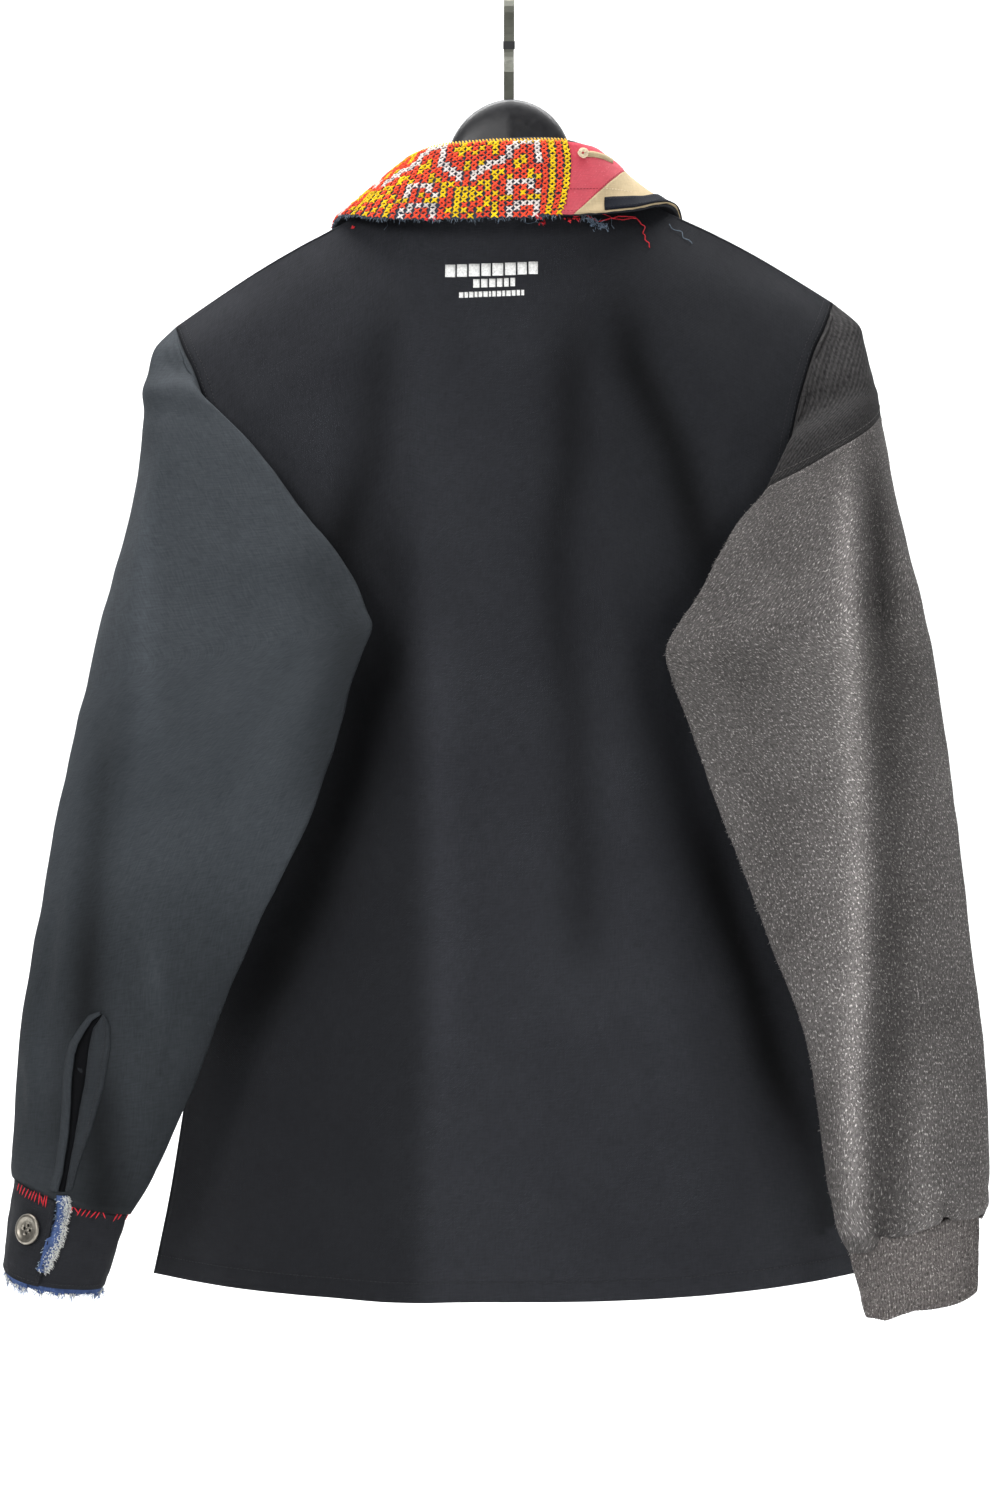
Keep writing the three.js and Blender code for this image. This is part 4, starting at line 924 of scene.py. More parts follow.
sleeve = {
    "columns": 26, "clearance": 4, "foldTurn": 17, "capRow": 6, "thickness": 1.3, "rowSteps": 7,
    "columnSteps": 5,
    # outX, outY, outZ, inX, inY, inZ, half, crest
    "left": [
        (-235, 12, -241, None, 0, 0, 16, 0.5), (-238, 8, -259, None, 0, 0, 22, 0.55),
        (-240, 2, -278, -203, -42, -272, 24, 0.6), (-242, -5, -300, -186, -54, -294, 26, 0.64),
        (-247, -12, -320, -168, -62, -315, 27, 0.66), (-253, -20, -345, -149, -69, -340, 28, 0.68),
        (-259, -28, -373, -130, -75, -364, 29, 0.7), (-265, -35, -400, -114, -80, -384, 29, 0.72),
        (-271, -41, -425, -101, -82, -404, 29, 0.76), (-276, -46, -447, -93, -88, -422, 28, 0.77),
        (-280, -50, -471, -89, -92, -434, 27, 0.78), (-286, -53, -495, -94, -94, -448, 26, 0.78),
        (-292, -57, -526, -102, -96, -471, 26, 0.76), (-300, -60, -564, -111, -97, -507, 26, 0.72),
        (-306, -62, -600, -126, -97, -550, 27, 0.66), (-312, -63, -633, -144, -96, -589, 27, 0.6),
        (-317, -63, -669, -163, -94, -627, 27, 0.55), (-322, -62, -700, -181, -90, -670, 28, 0.5),
        (-325, -62, -730, -196, -86, -707, 28, 0.5), (-326, -62, -758, -210, -80, -742, 29, 0.5),
        (-327, -62, -778, -229, -75, -784, 31, 0.5), (-327, -62, -793, -249, -72, -817, 33, 0.5),
    ],
    "right": [
        (232, 14, -222, None, 0, 0, 16, 0.5), (238, 12, -236, None, 0, 0, 20, 0.55),
        (241, 8, -249, None, 0, 0, 24, 0.58), (244, 4, -260, None, 0, 0, 27, 0.6),
        (246, 0, -270, 181, -54, -311, 28, 0.62), (249, -5, -281, 169, -62, -341, 29, 0.64),
        (254, -14, -306, 152, -69, -362, 30, 0.66), (258, -24, -334, 140, -76, -383, 30, 0.68),
        (263, -33, -363, 126, -82, -409, 29, 0.7), (269, -41, -393, 112, -86, -429, 28, 0.7),
        (274, -47, -420, 102, -92, -447, 27, 0.7), (279, -52, -448, 105, -94, -466, 27, 0.7),
        (284, -56, -482, 115, -96, -493, 27, 0.68), (290, -59, -521, 127, -97, -527, 27, 0.66),
        (295, -62, -557, 140, -97, -563, 27, 0.62), (300, -62, -600, 153, -97, -598, 27, 0.58),
        (304, -62, -639, 167, -96, -632, 27, 0.52), (309, -62, -679, 182, -94, -669, 28, 0.44),
        (313, -62, -712, 193, -90, -705, 28, 0.38), (316, -62, -758, 202, -86, -749, 29, 0.34),
        (316, -62, -798, 209, -80, -804, 30, 0.34), (309, -64, -819, 225, -76, -838, 27, 0.4),
    ],
    "backTurn": [45, 50, 80, 130, 170, 180, 180, 180, 180, 180, 180, 180],
    "frontTurn": [-45, -50, -55, -60, -60, -60, -55, -50, -40, -20, 0, 0],
    # creases of the near side: depth in (+) or out (-), half width, path of (x, z)
    "leftCreases": [
        (-3.4, 9, [(-222, -278), (-226, -318), (-243, -394), (-248, -470), (-251, -545), (-254, -576)]),
        (-2.6, 7, [(-238, -630), (-232, -680), (-227, -716)]), (-2.0, 6, [(-218, -696), (-210, -712)]),
        (-2.6, 6, [(-319, -692), (-312, -730), (-308, -780)]), (3.0, 8, [(-264, -739), (-264, -796)]),
        (2.6, 9, [(-130, -420), (-150, -470), (-176, -520), (-196, -580)]),
        (-2.2, 8, [(-112, -446), (-136, -500), (-164, -556)]),
        (2.0, 8, [(-196, -330), (-180, -400), (-160, -450)]),
        (-1.8, 8, [(-280, -560), (-286, -640), (-296, -700)]),
        (2.0, 7, [(-296, -600), (-304, -690), (-302, -760)]),
        (1.8, 6, [(-240, -760), (-250, -790), (-262, -815)]),
        (-1.8, 5, [(-275, -750), (-282, -780), (-284, -806)]),
        (1.6, 6, [(-206, -640), (-214, -690), (-226, -740)]),
    ],
    "rightCreases": [
        (-5.0, 10, [(222, -300), (222, -340), (225, -385), (223, -430), (224, -560), (227, -680), (222, -740),
                   (226, -810)]),
        (4.0, 14, [(242, -300), (246, -430), (248, -560), (246, -700), (240, -820)]),
        (2.2, 9, [(140, -440), (158, -500), (176, -570), (188, -650)]),
        (-2.0, 9, [(124, -450), (144, -520), (160, -590)]),
        (2.0, 8, [(180, -360), (160, -410), (140, -440)]), (-1.8, 8, [(262, -420), (270, -520), (276, -600)]),
        (1.8, 9, [(250, -560), (262, -660), (268, -760)]), (-2.2, 7, [(240, -740), (246, -780), (250, -820)]),
        (2.4, 6, [(262, -770), (266, -800), (270, -825)]), (-2.2, 6, [(282, -770), (286, -800), (286, -822)]),
        (2.0, 6, [(300, -760), (300, -800), (298, -818)]),
    ],
    "ripples": [(48, (1, 0.7, 0.5), 0.6), (19, (1, 1, 0.7), 0.2)],
    # the sleeve's end rolls over the cuff: how far out and down, from the last row up
    "endRoll": [(3.2, 3.0), (4.4, 2.2), (4.6, 1.2), (3.8, 0.6), (2.4, 0.3), (1.2, 0.1)],
    "rollAmount": {-1: 0.24, 1: 1.0},
    # x, width, share of the roll that is drawn in; endRise lifts the seam beyond the first notch
    "notches": [(241, 3.4, 1.0), (282, 3.2, 1.0)],
    "endRise": [(228, 0), (238, 1.5), (244, 8), (262, 8.5), (278, 9.5), (284, 9), (300, 5), (318, 4)],
    # painted shade (below 0) and painted highlight (above 0) on the left sleeve along its folds and crests:
    # amount, half width, path
    "leftBands": [
        (-0.5, 22, [(-112, -380), (-100, -436), (-104, -470), (-118, -530), (-132, -590)]),
        (-0.4, 12, [(-258, -470), (-264, -530), (-270, -600), (-274, -680), (-270, -760)]),
        (-0.3, 22, [(-130, -340), (-120, -400), (-126, -450)]),
        (0.25, 9, [(-240, -300), (-238, -436), (-232, -553)]),
        (0.3, 8, [(-234, -600), (-228, -660), (-222, -720)]), (-0.4, 10, [(-292, -720), (-290, -800)]),
        (-0.42, 17, [(-272, -690), (-266, -740), (-262, -840)]), (-0.3, 8, [(-316, -720), (-316, -790)]),
        (0.22, 7, [(-306, -660), (-304, -760)]), (0.2, 6, [(-244, -700), (-240, -780)]),
    ],
    # painted shade that darkens the lower left sleeve: amount, softness, side of the path, path
    "leftPlanes": [(-0.42, 900, 1, [(-600, -560), (-600, -900)])],
    # painted shade (below 0) and painted highlight (above 0) on the right sleeve: amount, half width, path;
    # the bright crest band is painted highlight and partly nap worn paler, the narrow dark bands are painted
    # shadows in the cuff's notches
    "rightBands": [
        (1.3, 7.5, [(222, -310), (220, -381), (222, -500), (224, -600), (222, -660), (219, -740),
                    (224, -830)]),
        (0.35, 18, [(206, -330), (208, -500), (206, -640), (214, -740)]),
        (-0.3, 9, [(236, -290), (242, -330), (245, -400), (247, -480)]),
        (-0.42, 15, [(240, -300), (244, -430), (248, -560), (246, -700), (240, -830)]),
        (-0.85, 2.6, [(232, -802), (238, -818), (241.5, -845)]),
        (-0.85, 2.2, [(291, -790), (285, -802), (282, -830)]),
        (0.5, 5, [(232, -812), (235, -840)]), (0.4, 4, [(276, -790), (278, -812)]),
        (0.35, 10, [(266, -700), (268, -800), (268, -830)]), (0.15, 12, [(286, -500), (292, -700)]),
    ],
}


def seamDirections(i, face, side):
    if i == 0:
        return np.array([0.7 * side, 0, -0.7])
    if i == body["armholeEnd"]:
        return np.array([0.5 * side, -0.86, 0])
    turns = sleeve["backTurn"] if face < 0 else sleeve["frontTurn"]
    angle = math.radians(180 - turns[i])
    turn = 1 if face < 0 else -1
    return np.array([math.sin(angle) * side * turn, -math.cos(angle) * turn, 0])


def sectionPoint(section, angle):
    outX, outY, outZ, inX, inY, inZ, half, crest = section
    across = (1 - np.cos(angle)) / 2
    width = math.hypot(outX - inX, outY - inY)
    side = math.copysign(1, outX - inX)
    normal = ((outY - inY) / width * side, -abs(outX - inX) / width)
    bend = math.log(0.5) / math.log(crest)
    crested = np.maximum(0, np.sin(math.pi * across ** bend)) ** 0.8
    wave = np.sin(angle)
    height = np.where(wave >= 0, mix(crested, wave, 0.3), wave)
    return np.stack([mix(inX, outX, across) + normal[0] * half * height,
                     mix(inY, outY, across) + normal[1] * half * height, mix(inZ, outZ, across)], -1)


def sectionAngle(section, x):
    across = min(0.9, max(0.015, (x - section[3]) / (section[0] - section[3])))
    return math.acos(1 - 2 * across)


backTriangles = []
for i in range(len(backGrid) - 1):
    for j in range(backGrid.shape[1] - 1):
        a, b, c, d = backGrid[i, j], backGrid[i, j + 1], backGrid[i + 1, j + 1], backGrid[i + 1, j]
        backTriangles += [(a, b, c), (a, c, d)]
backTriangles = np.array(backTriangles)


def backDepth(x, z):
    p, q, r = backTriangles[:, 0], backTriangles[:, 1], backTriangles[:, 2]
    area = (q[:, 0] - p[:, 0]) * (r[:, 2] - p[:, 2]) - (r[:, 0] - p[:, 0]) * (q[:, 2] - p[:, 2])
    area = np.where(np.abs(area) < 1e-6, np.nan, area)
    s = ((x - p[:, 0]) * (r[:, 2] - p[:, 2]) - (r[:, 0] - p[:, 0]) * (z - p[:, 2])) / area
    t = ((q[:, 0] - p[:, 0]) * (z - p[:, 2]) - (x - p[:, 0]) * (q[:, 2] - p[:, 2])) / area
    found = np.nonzero((s >= -1e-6) & (t >= -1e-6) & (s + t <= 1 + 1e-6))[0]
    if not len(found):
        return None
    k = found[0]
    return p[k, 1] + s[k] * (q[k, 1] - p[k, 1]) + t[k] * (r[k, 1] - p[k, 1])


def sleeveGrid(side, rows):
    columns, armholeEnd = sleeve["columns"], body["armholeEnd"]
    pick = 0 if side < 0 else -1
    def seamPoint(panel, i, face):
        return panel[i, pick] + seamDirections(i, face, side) * body["seamGap"]
    start = seamPoint(backGrid, 0, -1)
    grid = [np.repeat(start[None], columns + 1, 0)]
    u = np.linspace(0, 1, columns + 1)
    underarm = 0
    for k, values in enumerate(rows):
        i = k + 1
        section = list(values)
        onArmhole = i <= armholeEnd
        if onArmhole:
            seamFrom, seamTo = seamPoint(backGrid, i, -1), seamPoint(frontGrid, i, 1)
            if i == armholeEnd:
                seamTo = seamFrom
        if section[3] is None:
            section[3:6] = seamFrom
        turned = float(smooth((i - armholeEnd) / (sleeve["foldTurn"] - armholeEnd)))
        first = -sectionAngle(section, seamFrom[0]) if onArmhole else -underarm * (1 - turned)
        isOpen = onArmhole and i < armholeEnd
        last = 2 * math.pi - sectionAngle(section, seamTo[0]) if isOpen else first + 2 * math.pi
        if i == armholeEnd:
            underarm = -first
        row = sectionPoint(section, mix(first, last, u))
        if onArmhole:
            near = (1 - np.clip(u / 0.22, 0, 1)) ** 2
            far = (1 - np.clip((1 - u) / 0.32, 0, 1)) ** 2
            row = row + (seamFrom - sectionPoint(section, np.array(first))) * near[:, None]
            row = row + (seamTo - sectionPoint(section, np.array(last))) * far[:, None]
        grid.append(row)
    grid = np.array(grid)
    for i in range(1, len(grid)):
        for j in range(columns + 1):
            fromSeam = min(j, columns if i > armholeEnd else columns - j)
            p = grid[i, j]
            if (i <= armholeEnd and fromSeam == 0) or p[1] > 0 or (j >= columns * 0.75 and i < armholeEnd):
                continue
            for inset in (0, 4, 8, 12):
                surface = backDepth(p[0] - math.copysign(inset, p[0]), p[2])
                if surface is not None:
                    p[1] = min(p[1], surface - sleeve["clearance"])
                    break
    grid[armholeEnd:, columns] = grid[armholeEnd:, 0]
    return grid


# Creases on the near side follow a table; the far side gets the same ones, shifted and softer. Then the end
# rolls over the cuff, drawn in at the notches.
def creaseSleeve(grid, side, creases, seed):
    closedFrom = body["armholeEnd"] * sleeve["rowSteps"]
    normals = gridNormals(grid, -side, closedFrom)
    facing = -normals[..., 1]
    x, z = grid[..., 0], grid[..., 2]
    near = -foldSum(x, z, creases, 40.0, -900)
    far = -foldSum(x + 9 * side, z - 22, creases, 40.0, -900) * 0.8
    shape = near * smooth(facing * 2 + 0.2) + far * smooth(-facing * 2)
    shape += ripples(grid, sleeve["ripples"], seed)
    rows, columns = grid.shape[:2]
    i = np.arange(rows)[:, None] / sleeve["rowSteps"]
    edge = columnsFromEdge(columns, sleeve["columnSteps"])
    fromSeam = np.where(i < body["armholeEnd"], smooth(edge / 1.2), 1)
    fade = smooth(i / 1.2) * smooth((rows - 1) / sleeve["rowSteps"] - i) * fromSeam
    moved = grid + normals * (shape * fade)[..., None]
    amount = sleeve["rollAmount"][side]
    for k, (out, down) in enumerate(sleeve["endRoll"]):
        row = rows - 1 - k
        tuck = np.zeros(columns)
        for notchX, notchWidth, share in sleeve["notches"] if side > 0 else ():
            tuck += share * np.exp(-((grid[row, :, 0] - notchX) / notchWidth) ** 2) * (facing[row] > 0)
        moved[row] += normals[row] * (out * amount * (1 - 0.95 * tuck))[:, None]
        rise = np.interp(grid[row, :, 0], *zip(*sleeve["endRise"])) * (facing[row] > -0.2) * (side > 0)
        moved[row, :, 2] += ((tuck * 3 - down) * amount + rise) * math.exp(-k / 4)
    moved[closedFrom:, -1] = moved[closedFrom:, 0]
    return moved


def sleevePiece(name, grid, closedFrom, side, material, slot, node):
    normals = gridNormals(grid, -side, closedFrom)
    bands, planes = (sleeve["leftBands"], sleeve["leftPlanes"]) if side < 0 else (sleeve["rightBands"], ())
    # painted shade and highlight, at full strength where the sleeve faces the camera and down to 40 percent
    # on its far side
    wear = paintedLightOf(grid, bands, planes) * mix(0.4, 1, smooth(0.5 - normals[..., 1] * 2))
    return clothPiece(name, grid, normals, sleeve["thickness"], material, slot, node, "hung", "hanger",
                      closedFrom=closedFrom, wear=wear)


def sleeveCloth(side, rows, creases, seed):
    fine = fineGrid(sleeveGrid(side, rows), sleeve["rowSteps"], sleeve["columnSteps"], body["armholeEnd"])
    return creaseSleeve(fine, side, creases, seed)


leftFine = sleeveCloth(-1, sleeve["left"], sleeve["leftCreases"], 21)
rightFine = sleeveCloth(1, sleeve["right"], sleeve["rightCreases"], 34)
ringRow = body["armholeEnd"] * sleeve["rowSteps"]
capCut = sleeve["capRow"] * sleeve["rowSteps"]
leftSleevePiece = sleevePiece("sleeve_left_cloth", leftFine, ringRow, -1, "slateShirting", "slate_cotton",
                              "sleeve_left")
sleevePiece("sleeve_right_cap_cloth", rightFine[:capCut + 1], None, 1, "greyCap", "grey_rib",
            "sleeve_right_cap")
sleevePiece("sleeve_right_cloth", rightFine[capCut:], ringRow - capCut, 1, "greyJersey", "grey_jersey",
            "sleeve_right")

placket = {
    "lip": [(-262.9, -684.6), (-268.7, -688.5), (-273.3, -695.6), (-277.8, -703.4), (-280.4, -711),
            (-282.3, -727.5),
            (-283, -743.6), (-284.3, -763), (-288.1, -788), (-291, -799)],
    "gap": [(-263.2, -686.4), (-268.2, -693), (-271, -704.8), (-274.2, -730.1), (-277.2, -743.6),
            (-281.6, -770),
            (-285, -788), (-286.8, -799)],
    "band": [(-261.2, -684.4), (-258.7, -687.2), (-256.6, -693.2), (-256.8, -704.8), (-261.2, -730.1),
             (-269, -757.2), (-278, -782.4), (-282, -798)],
    "lipWidth": 7, "lipStart": [(-0.8, 2.4), (-3.2, 3.2), (-5.2, 1.6), (-6.6, 0.6)],
}


# The bound slit above the left cuff: a folded lip, a near black sheet that stands for the shadow in the gap,
# and the stitched band.
def sleevePlacket():
    tree = surfaceTree(leftSleevePiece)
    lip = np.array(placket["lip"])
    behind = lip - (placket["lipWidth"], 0)
    behind[:len(placket["lipStart"])] = lip[:len(placket["lipStart"])] + placket["lipStart"]
    def part(name, pathA, pathB, lifts, thickness, material, wear):
        return ribbon(name, tree, pathA, pathB, lifts, thickness, material,
                      wear=wear)
    # the lip and the band are darkened by fixed shares; the gap's sheet is painted nearly black as shadow
    part("placket_lip", behind, lip, (0.1, 0.9, 1.7, 2.2, 2.3, 1.5), 0.5, "slateShirting", -0.3)
    part("placket_gap", lip, placket["gap"], (0.25, 0.25, 0.25), 0.2, "inkCotton", -0.9)
    band, grid, outward = part("placket_band", placket["gap"], placket["band"],
                               (0.5, 1.1, 1.1, 1.0, 1.0, 1.5, 1.3, 0.3), 0.4, "slateShirting", -0.45)
    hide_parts("sleeve_left_placket")
    lines = [(grid[2:-2, column], outward[2:-2, column]) for column in (1, -3)]
    sewLines("placket_stitches", lines, 2.8, (2.2, 0.5, 0.45), "blackThread")


sleevePlacket()

rightNormals = gridNormals(rightFine, -1)
capLines = [(rightFine[row, 3:-3], rightNormals[row, 3:-3]) for row in (capCut - 2, capCut + 2)]
sewLines("cap_seam_stitches", capLines, 3.0, (2.6, 0.6, 0.5), "greyThread", 0.2)
print("sleeves sewn")


cuff = {
    "top": (-327, -62, -793, -249, -72, -817, 33, 0.5), "foot": (-334, -60, -849, -266, -76, -866, 38, 0.5),
    "columns": 30, "lapEdge": 1.58, "lapSlant": 0.18, "lapColumns": 2, "lapRise": 3.2, "rowSteps": 6,
    "columnSteps": 5,
    "thickness": 1.6, "facingShort": 1,
    # heights and softness of the quilting along both edges, drops of the facing's frayed end
    "quilting": [(0.08, 0.05), (0.93, 0.05)], "facingDrops": (1.4, 2.8, 4), "facingFray": 1.1,
    # where the button sits: share of the cuff's height, and coarse columns from the lap's end
    "buttonShare": 0.4, "buttonColumnsFromEnd": 1.55, "buttonStand": 0.7,
}


def mixRows(a, b, t):
    return [mix(p, q, t) for p, q in zip(a, b)]


def cuffLap():
    step = 2 * math.pi / (cuff["columns"] - cuff["lapColumns"])
    grid = []
    for t in (0, 0.34, 0.67, 1):
        section = mixRows(cuff["top"], cuff["foot"], t)
        start = cuff["lapEdge"] - cuff["lapSlant"] * t + cuff["lapColumns"] * step
        angles = start - step * np.arange(cuff["columns"] + 1)
        row = sectionPoint(section, angles)
        centre = np.array([(section[0] + section[3]) / 2, (section[1] + section[4]) / 2, 0])
        share = np.arange(cuff["columns"] + 1) / cuff["columns"]
        rise = cuff["lapRise"] * (smooth((share - 0.8) / 0.12) - 0.3)
        away = unit((row - centre) * (1, 1, 0)) * rise[:, None]
        grid.append(row + away - np.array([0, 0, body["seamGap"] if t == 0 else 0]))
    return np.array(grid)


def quiltCuff(grid):
    height = np.linspace(0, 1, len(grid))[:, None]
    quilt = sum(0.5 * np.exp(-((height - at) / soft) ** 2) for at, soft in cuff["quilting"])
    return grid + gridNormals(grid, -1) * (softNoise(grid, 16, 5) * 0.3 - quilt)[..., None]


cuffFine = quiltCuff(fineGrid(cuffLap(), cuff["rowSteps"], cuff["columnSteps"]))
cuffNormals = gridNormals(cuffFine, -1)
# the cuff's colour is darkened by a fixed 30 percent
leftCuff = clothPiece("cuff_left_cloth", cuffFine, cuffNormals, cuff["thickness"], "blackTwill",
                      "black_cotton",
                      "cuff_left", "hung", "sleeve_left_cloth", wear=-0.3)


# The denim that lines the cuff, one coarse row short at the top and frayed at its foot.
def cuffFacing():
    kept = np.s_[cuff["rowSteps"]:, :(cuff["columns"] - cuff["facingShort"]) * cuff["columnSteps"] + 1]
    base = cuffFine[kept] - cuffNormals[kept] * (cuff["thickness"] + 0.3)
    grid = np.concatenate([base, np.stack([base[-1] - (0, 0, drop) for drop in cuff["facingDrops"]])])
    grid[-1, :, 2] -= softNoise(grid[-1], 7, 44) * cuff["facingFray"]
    clothPiece("cuff_left_facing_cloth", grid, gridNormals(grid, -1), 0.8, "blueDenim", "blue_denim",
               "cuff_left_denim_facing", "hung", "cuff_left_cloth")
    return grid


facingGrid = cuffFacing()

ribCuff = {
    "top": (309, -64, -819, 221.5, -76, -838, 27, 0.4), "foot": (308, -64, -870, 234, -76, -885, 27, 0.5),
    "ribs": 84, "columnsPerRib": 4, "rows": 22, "ribDepth": 0.45, "thickness": 2.0, "topRise": 6.0,
    "footWave": [(238, 0), (245, -1.5), (254, 1.6), (262, 3.2), (285, 1), (300, 0.4), (312, 0)],
}


def ribTube():
    columns = ribCuff["ribs"] * ribCuff["columnsPerRib"]
    down = np.linspace(0, 1, ribCuff["rows"])
    grid = []
    for t in down:
        row = sectionPoint(mixRows(ribCuff["top"], ribCuff["foot"], t),
                           np.linspace(0, 2 * math.pi, columns + 1))
        row[:, 2] += ribCuff["topRise"] * max(0, 1 - t * 3)
        row[-1] = row[0]
        grid.append(row)
    grid = np.array(grid)
    ribs = np.cos(2 * math.pi * np.arange(columns + 1) / ribCuff["columnsPerRib"])[None,
                                                                                   :] * ribCuff["ribDepth"]
    wave = ribs + softNoise(grid, 22, 61) * 0.5 * smooth(down[:, None] * 4)
    moved = grid + gridNormals(grid, -1, 0) * wave[..., None]
    moved[..., 2] += np.interp(grid[..., 0], *zip(*ribCuff["footWave"])) * down[:, None] ** 2
    moved[:, 0] = moved[:, -1]
    return moved


ribFine = ribTube()
clothPiece("cuff_right_cloth", ribFine, gridNormals(ribFine, -1, 0), ribCuff["thickness"], "greyRib",
           "grey_rib",
           "cuff_right", "hung", "sleeve_right_cloth", closedFrom=0)

handStitches = {
    # x, length, lean in degrees of the stitches that show; the far ones are spread at random
    "near": [(-319.7, 6, 24), (-317.4, 8, 30), (-315.1, 7, 32), (-312.6, 8, 30), (-310.2, 7, 28),
             (-308, 8, 24),
             (-306.1, 7.5, 18), (-303.6, 8.5, 4), (-301.9, 6, -14), (-300.3, 8, 10), (-298.8, 8.5, 6),
             (-284, 6, -30), (-282.6, 7.5, 24), (-280, 6.5, -34), (-278, 8, 28), (-275.2, 7.5, 34),
             (-272.6, 8, 30),
             (-269.4, 9, 42), (-267, 8, 26), (-263.6, 6.5, -28), (-256.6, 8.5, 30), (-254.6, 5.5, 36),
             (-251, 7, 8), (-249.2, 7.5, -6), (-247.4, 7, 14), (-246.2, 6, -10)],
    "farCount": 24, "size": (1.0, 0.85, 0.8),
}


def cuffHandStitches():
    tree = surfaceTree(leftCuff, leftSleevePiece)
    near = cuffFine[0][cuffNormals[0][:, 1] < 0]
    seam = near[np.argsort(near[:, 0])]
    upward = np.array([0, 0, 1.0])
    places, along, up, stretch = [], [], [], []
    def add(p, n, length, lean):
        angle = math.radians(lean)
        direction = math.sin(angle) * unit(np.cross(upward, n)) + math.cos(angle) * upward
        places.append(p + n * 0.5)
        along.append(unit(direction - n * (direction @ n)))
        up.append(n)
        stretch.append((length, 1, 1))
    for x, length, lean in handStitches["near"]:
        points, normals = onSurface(tree, [(x, np.interp(x, seam[:, 0], seam[:, 2]) - 2.2)])
        add(points[0], normals[0], length, lean)
    for _ in range(handStitches["farCount"]):
        column = chance.uniform(0, cuffFine.shape[1] - 1)
        n = unit(sample(cuffNormals, 1, column))
        if n[1] > 0.05:
            add(sample(cuffFine, 0.5, column), n, chance.uniform(6, 8.5), chance.uniform(-30, 34))
    sew("cuff_hand_stitches", places, along, up, handStitches["size"], "redThread", stretch)


cuffHandStitches()

denim = {
    "left": [(-292.2, -801.5), (-292.4, -806.5), (-292.2, -814.9), (-294.1, -820), (-296.7, -827.8),
             (-299.6, -835.5),
             (-301.8, -842.6), (-303.8, -849)],
    "right": [(-285.4, -801.5), (-284.4, -806.5), (-285.1, -814.9), (-286.8, -820), (-287.5, -827.8),
              (-290.9, -835.5),
              (-294.1, -842.6), (-298.4, -851)],
    # column or row that frays, which way, how many threads, their lengths and their thread
    "stripFrays": [(-1, 1, 300, "whiteThread"), (0, -1, 50, "blueThread"), (-2, 1, 300, "whiteThread"),
                   (-3, 1, 100, "whiteThread")],
    "facingFrays": [(-1, 0, 420, (1.4, 4.4), "denimThread"), (-1, -0.3, 210, (1.0, 3.4), "whiteThread"),
                    (-2, -0.6, 252, (0.9, 2.4), "whiteThread")],
}


def denimStrip():
    piece, grid, _ = ribbon("cuff_denim_strip", surfaceTree(leftCuff, leftSleevePiece), denim["left"],
                            denim["right"],
                            (0.8, 1.6, 1.9, 1.8, 1.5, 0.9), 0.6, "blueDenim",
                            ragged=0.28, spacing=1.0)
    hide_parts("cuff_left_denim_strip")
    for k, (column, sign, count, material) in enumerate(denim["stripFrays"]):
        looseThreads(f"denim_strip_fray_{k + 1}", pickAlong(grid[:, column], count, 80 + k),
                     (0.9 * sign, -0.5, -0.2),
                     (0.9, 2.4), 0.17, material, 90 + k)
    looseThreads("denim_strip_flecks", sample(grid, *pickOver(grid, 110, 77)), (0.2, -0.5, -0.5), (0.5, 1.5),
                 0.24,
                 "whiteThread", 97, 0.9)


denimStrip()
for k, (row, forward, count, lengths, material) in enumerate(denim["facingFrays"]):
    looseThreads(f"cuff_facing_fray_{k + 1}", pickAlong(facingGrid[row], count, 84 + k), (0, forward, -1.0),
                 lengths,
                 0.18, material, 94 + k)
cuffLines = [edgeLine(cuffFine, -1, 2.6, 0), edgeLine(cuffFine, -1, 2.6, 1, 0.06, 0.97),
             edgeLine(cuffFine[::-1], 1, 2.2, 0)]
sewLines("cuff_topstitches", cuffLines, 2.8, (2.3, 0.55, 0.45), "blackThread")


# Fine loose fibres that stand off the brushed knit.
def nap(name, grid, normals, count, seed):
    places = pickOver(grid, count, seed)
    out = sample(normals, *places)
    looseThreads(name, sample(grid, *places) - out * 0.1, out * 0.7 + (0, 0, -0.5), (0.7, 2.1), 0.08,
                 "napFibre",
                 seed + 1, 0.6, 0.1)


nap("sleeve_nap", rightFine[capCut:], gridNormals(rightFine, -1, ringRow)[capCut:], 5200, 51)
nap("rib_nap", ribFine, gridNormals(ribFine, -1, 0), 1300, 53)
print("cuffs sewn")


collar = {
    # points of the fold line and of the fall's edge, from the middle to the right front end
    "stations": [((0, -35, -104), (0, -50, -160.5)), ((35, -31, -104.5), (48, -47, -159.5)),
                 ((55, -16, -107.5), (86, -34, -155)), ((63, 4, -114.5), (113, -2, -147.5)),
                 ((64, 24, -124), (119, 27, -166)), ((55, 48, -139), (110, 55, -202)),
                 ((33, 70, -158), (92, 73, -234)), ((8, 84, -174), (76, 81, -256))],
    # places of each column on the fold line and on the fall's edge
    "columns": [(k / 2, k / 2) for k in range(-14, 1)] + [
        (0.5, 0.4), (1.05, 0.72), (1.8, 0.82), (2.6, 1.02), (3, 1.5), (3.4, 2), (3.8, 2.55), (4.2, 3.2),
        (4.7, 4), (5.2, 4.8), (5.8, 5.6), (6.4, 6.4), (7, 7)],
    "rows": [0, 0.09, 0.3, 0.55, 0.78, 1], "embroideredEnd": 16, "blackRow": 4,
    # a line from (x, z) to (x, z), and the fine columns between which it runs
    "redLine": (((72.8, -127.0), (47.8, -153.3)), 96, 114),
    "blackLine": (((62.6, -140.0), (63.6, -160.0)), 102, 130),
    "rowSteps": 5, "columnSteps": 6, "thickness": 1.5, "patch": 1.0,
    "backPlaces": [0, 0.55, 1.1, 1.9, 3], "frontPlaces": [4, 4.9, 5.6, 6.2, 6.7], "standDrop": 2.9,
}


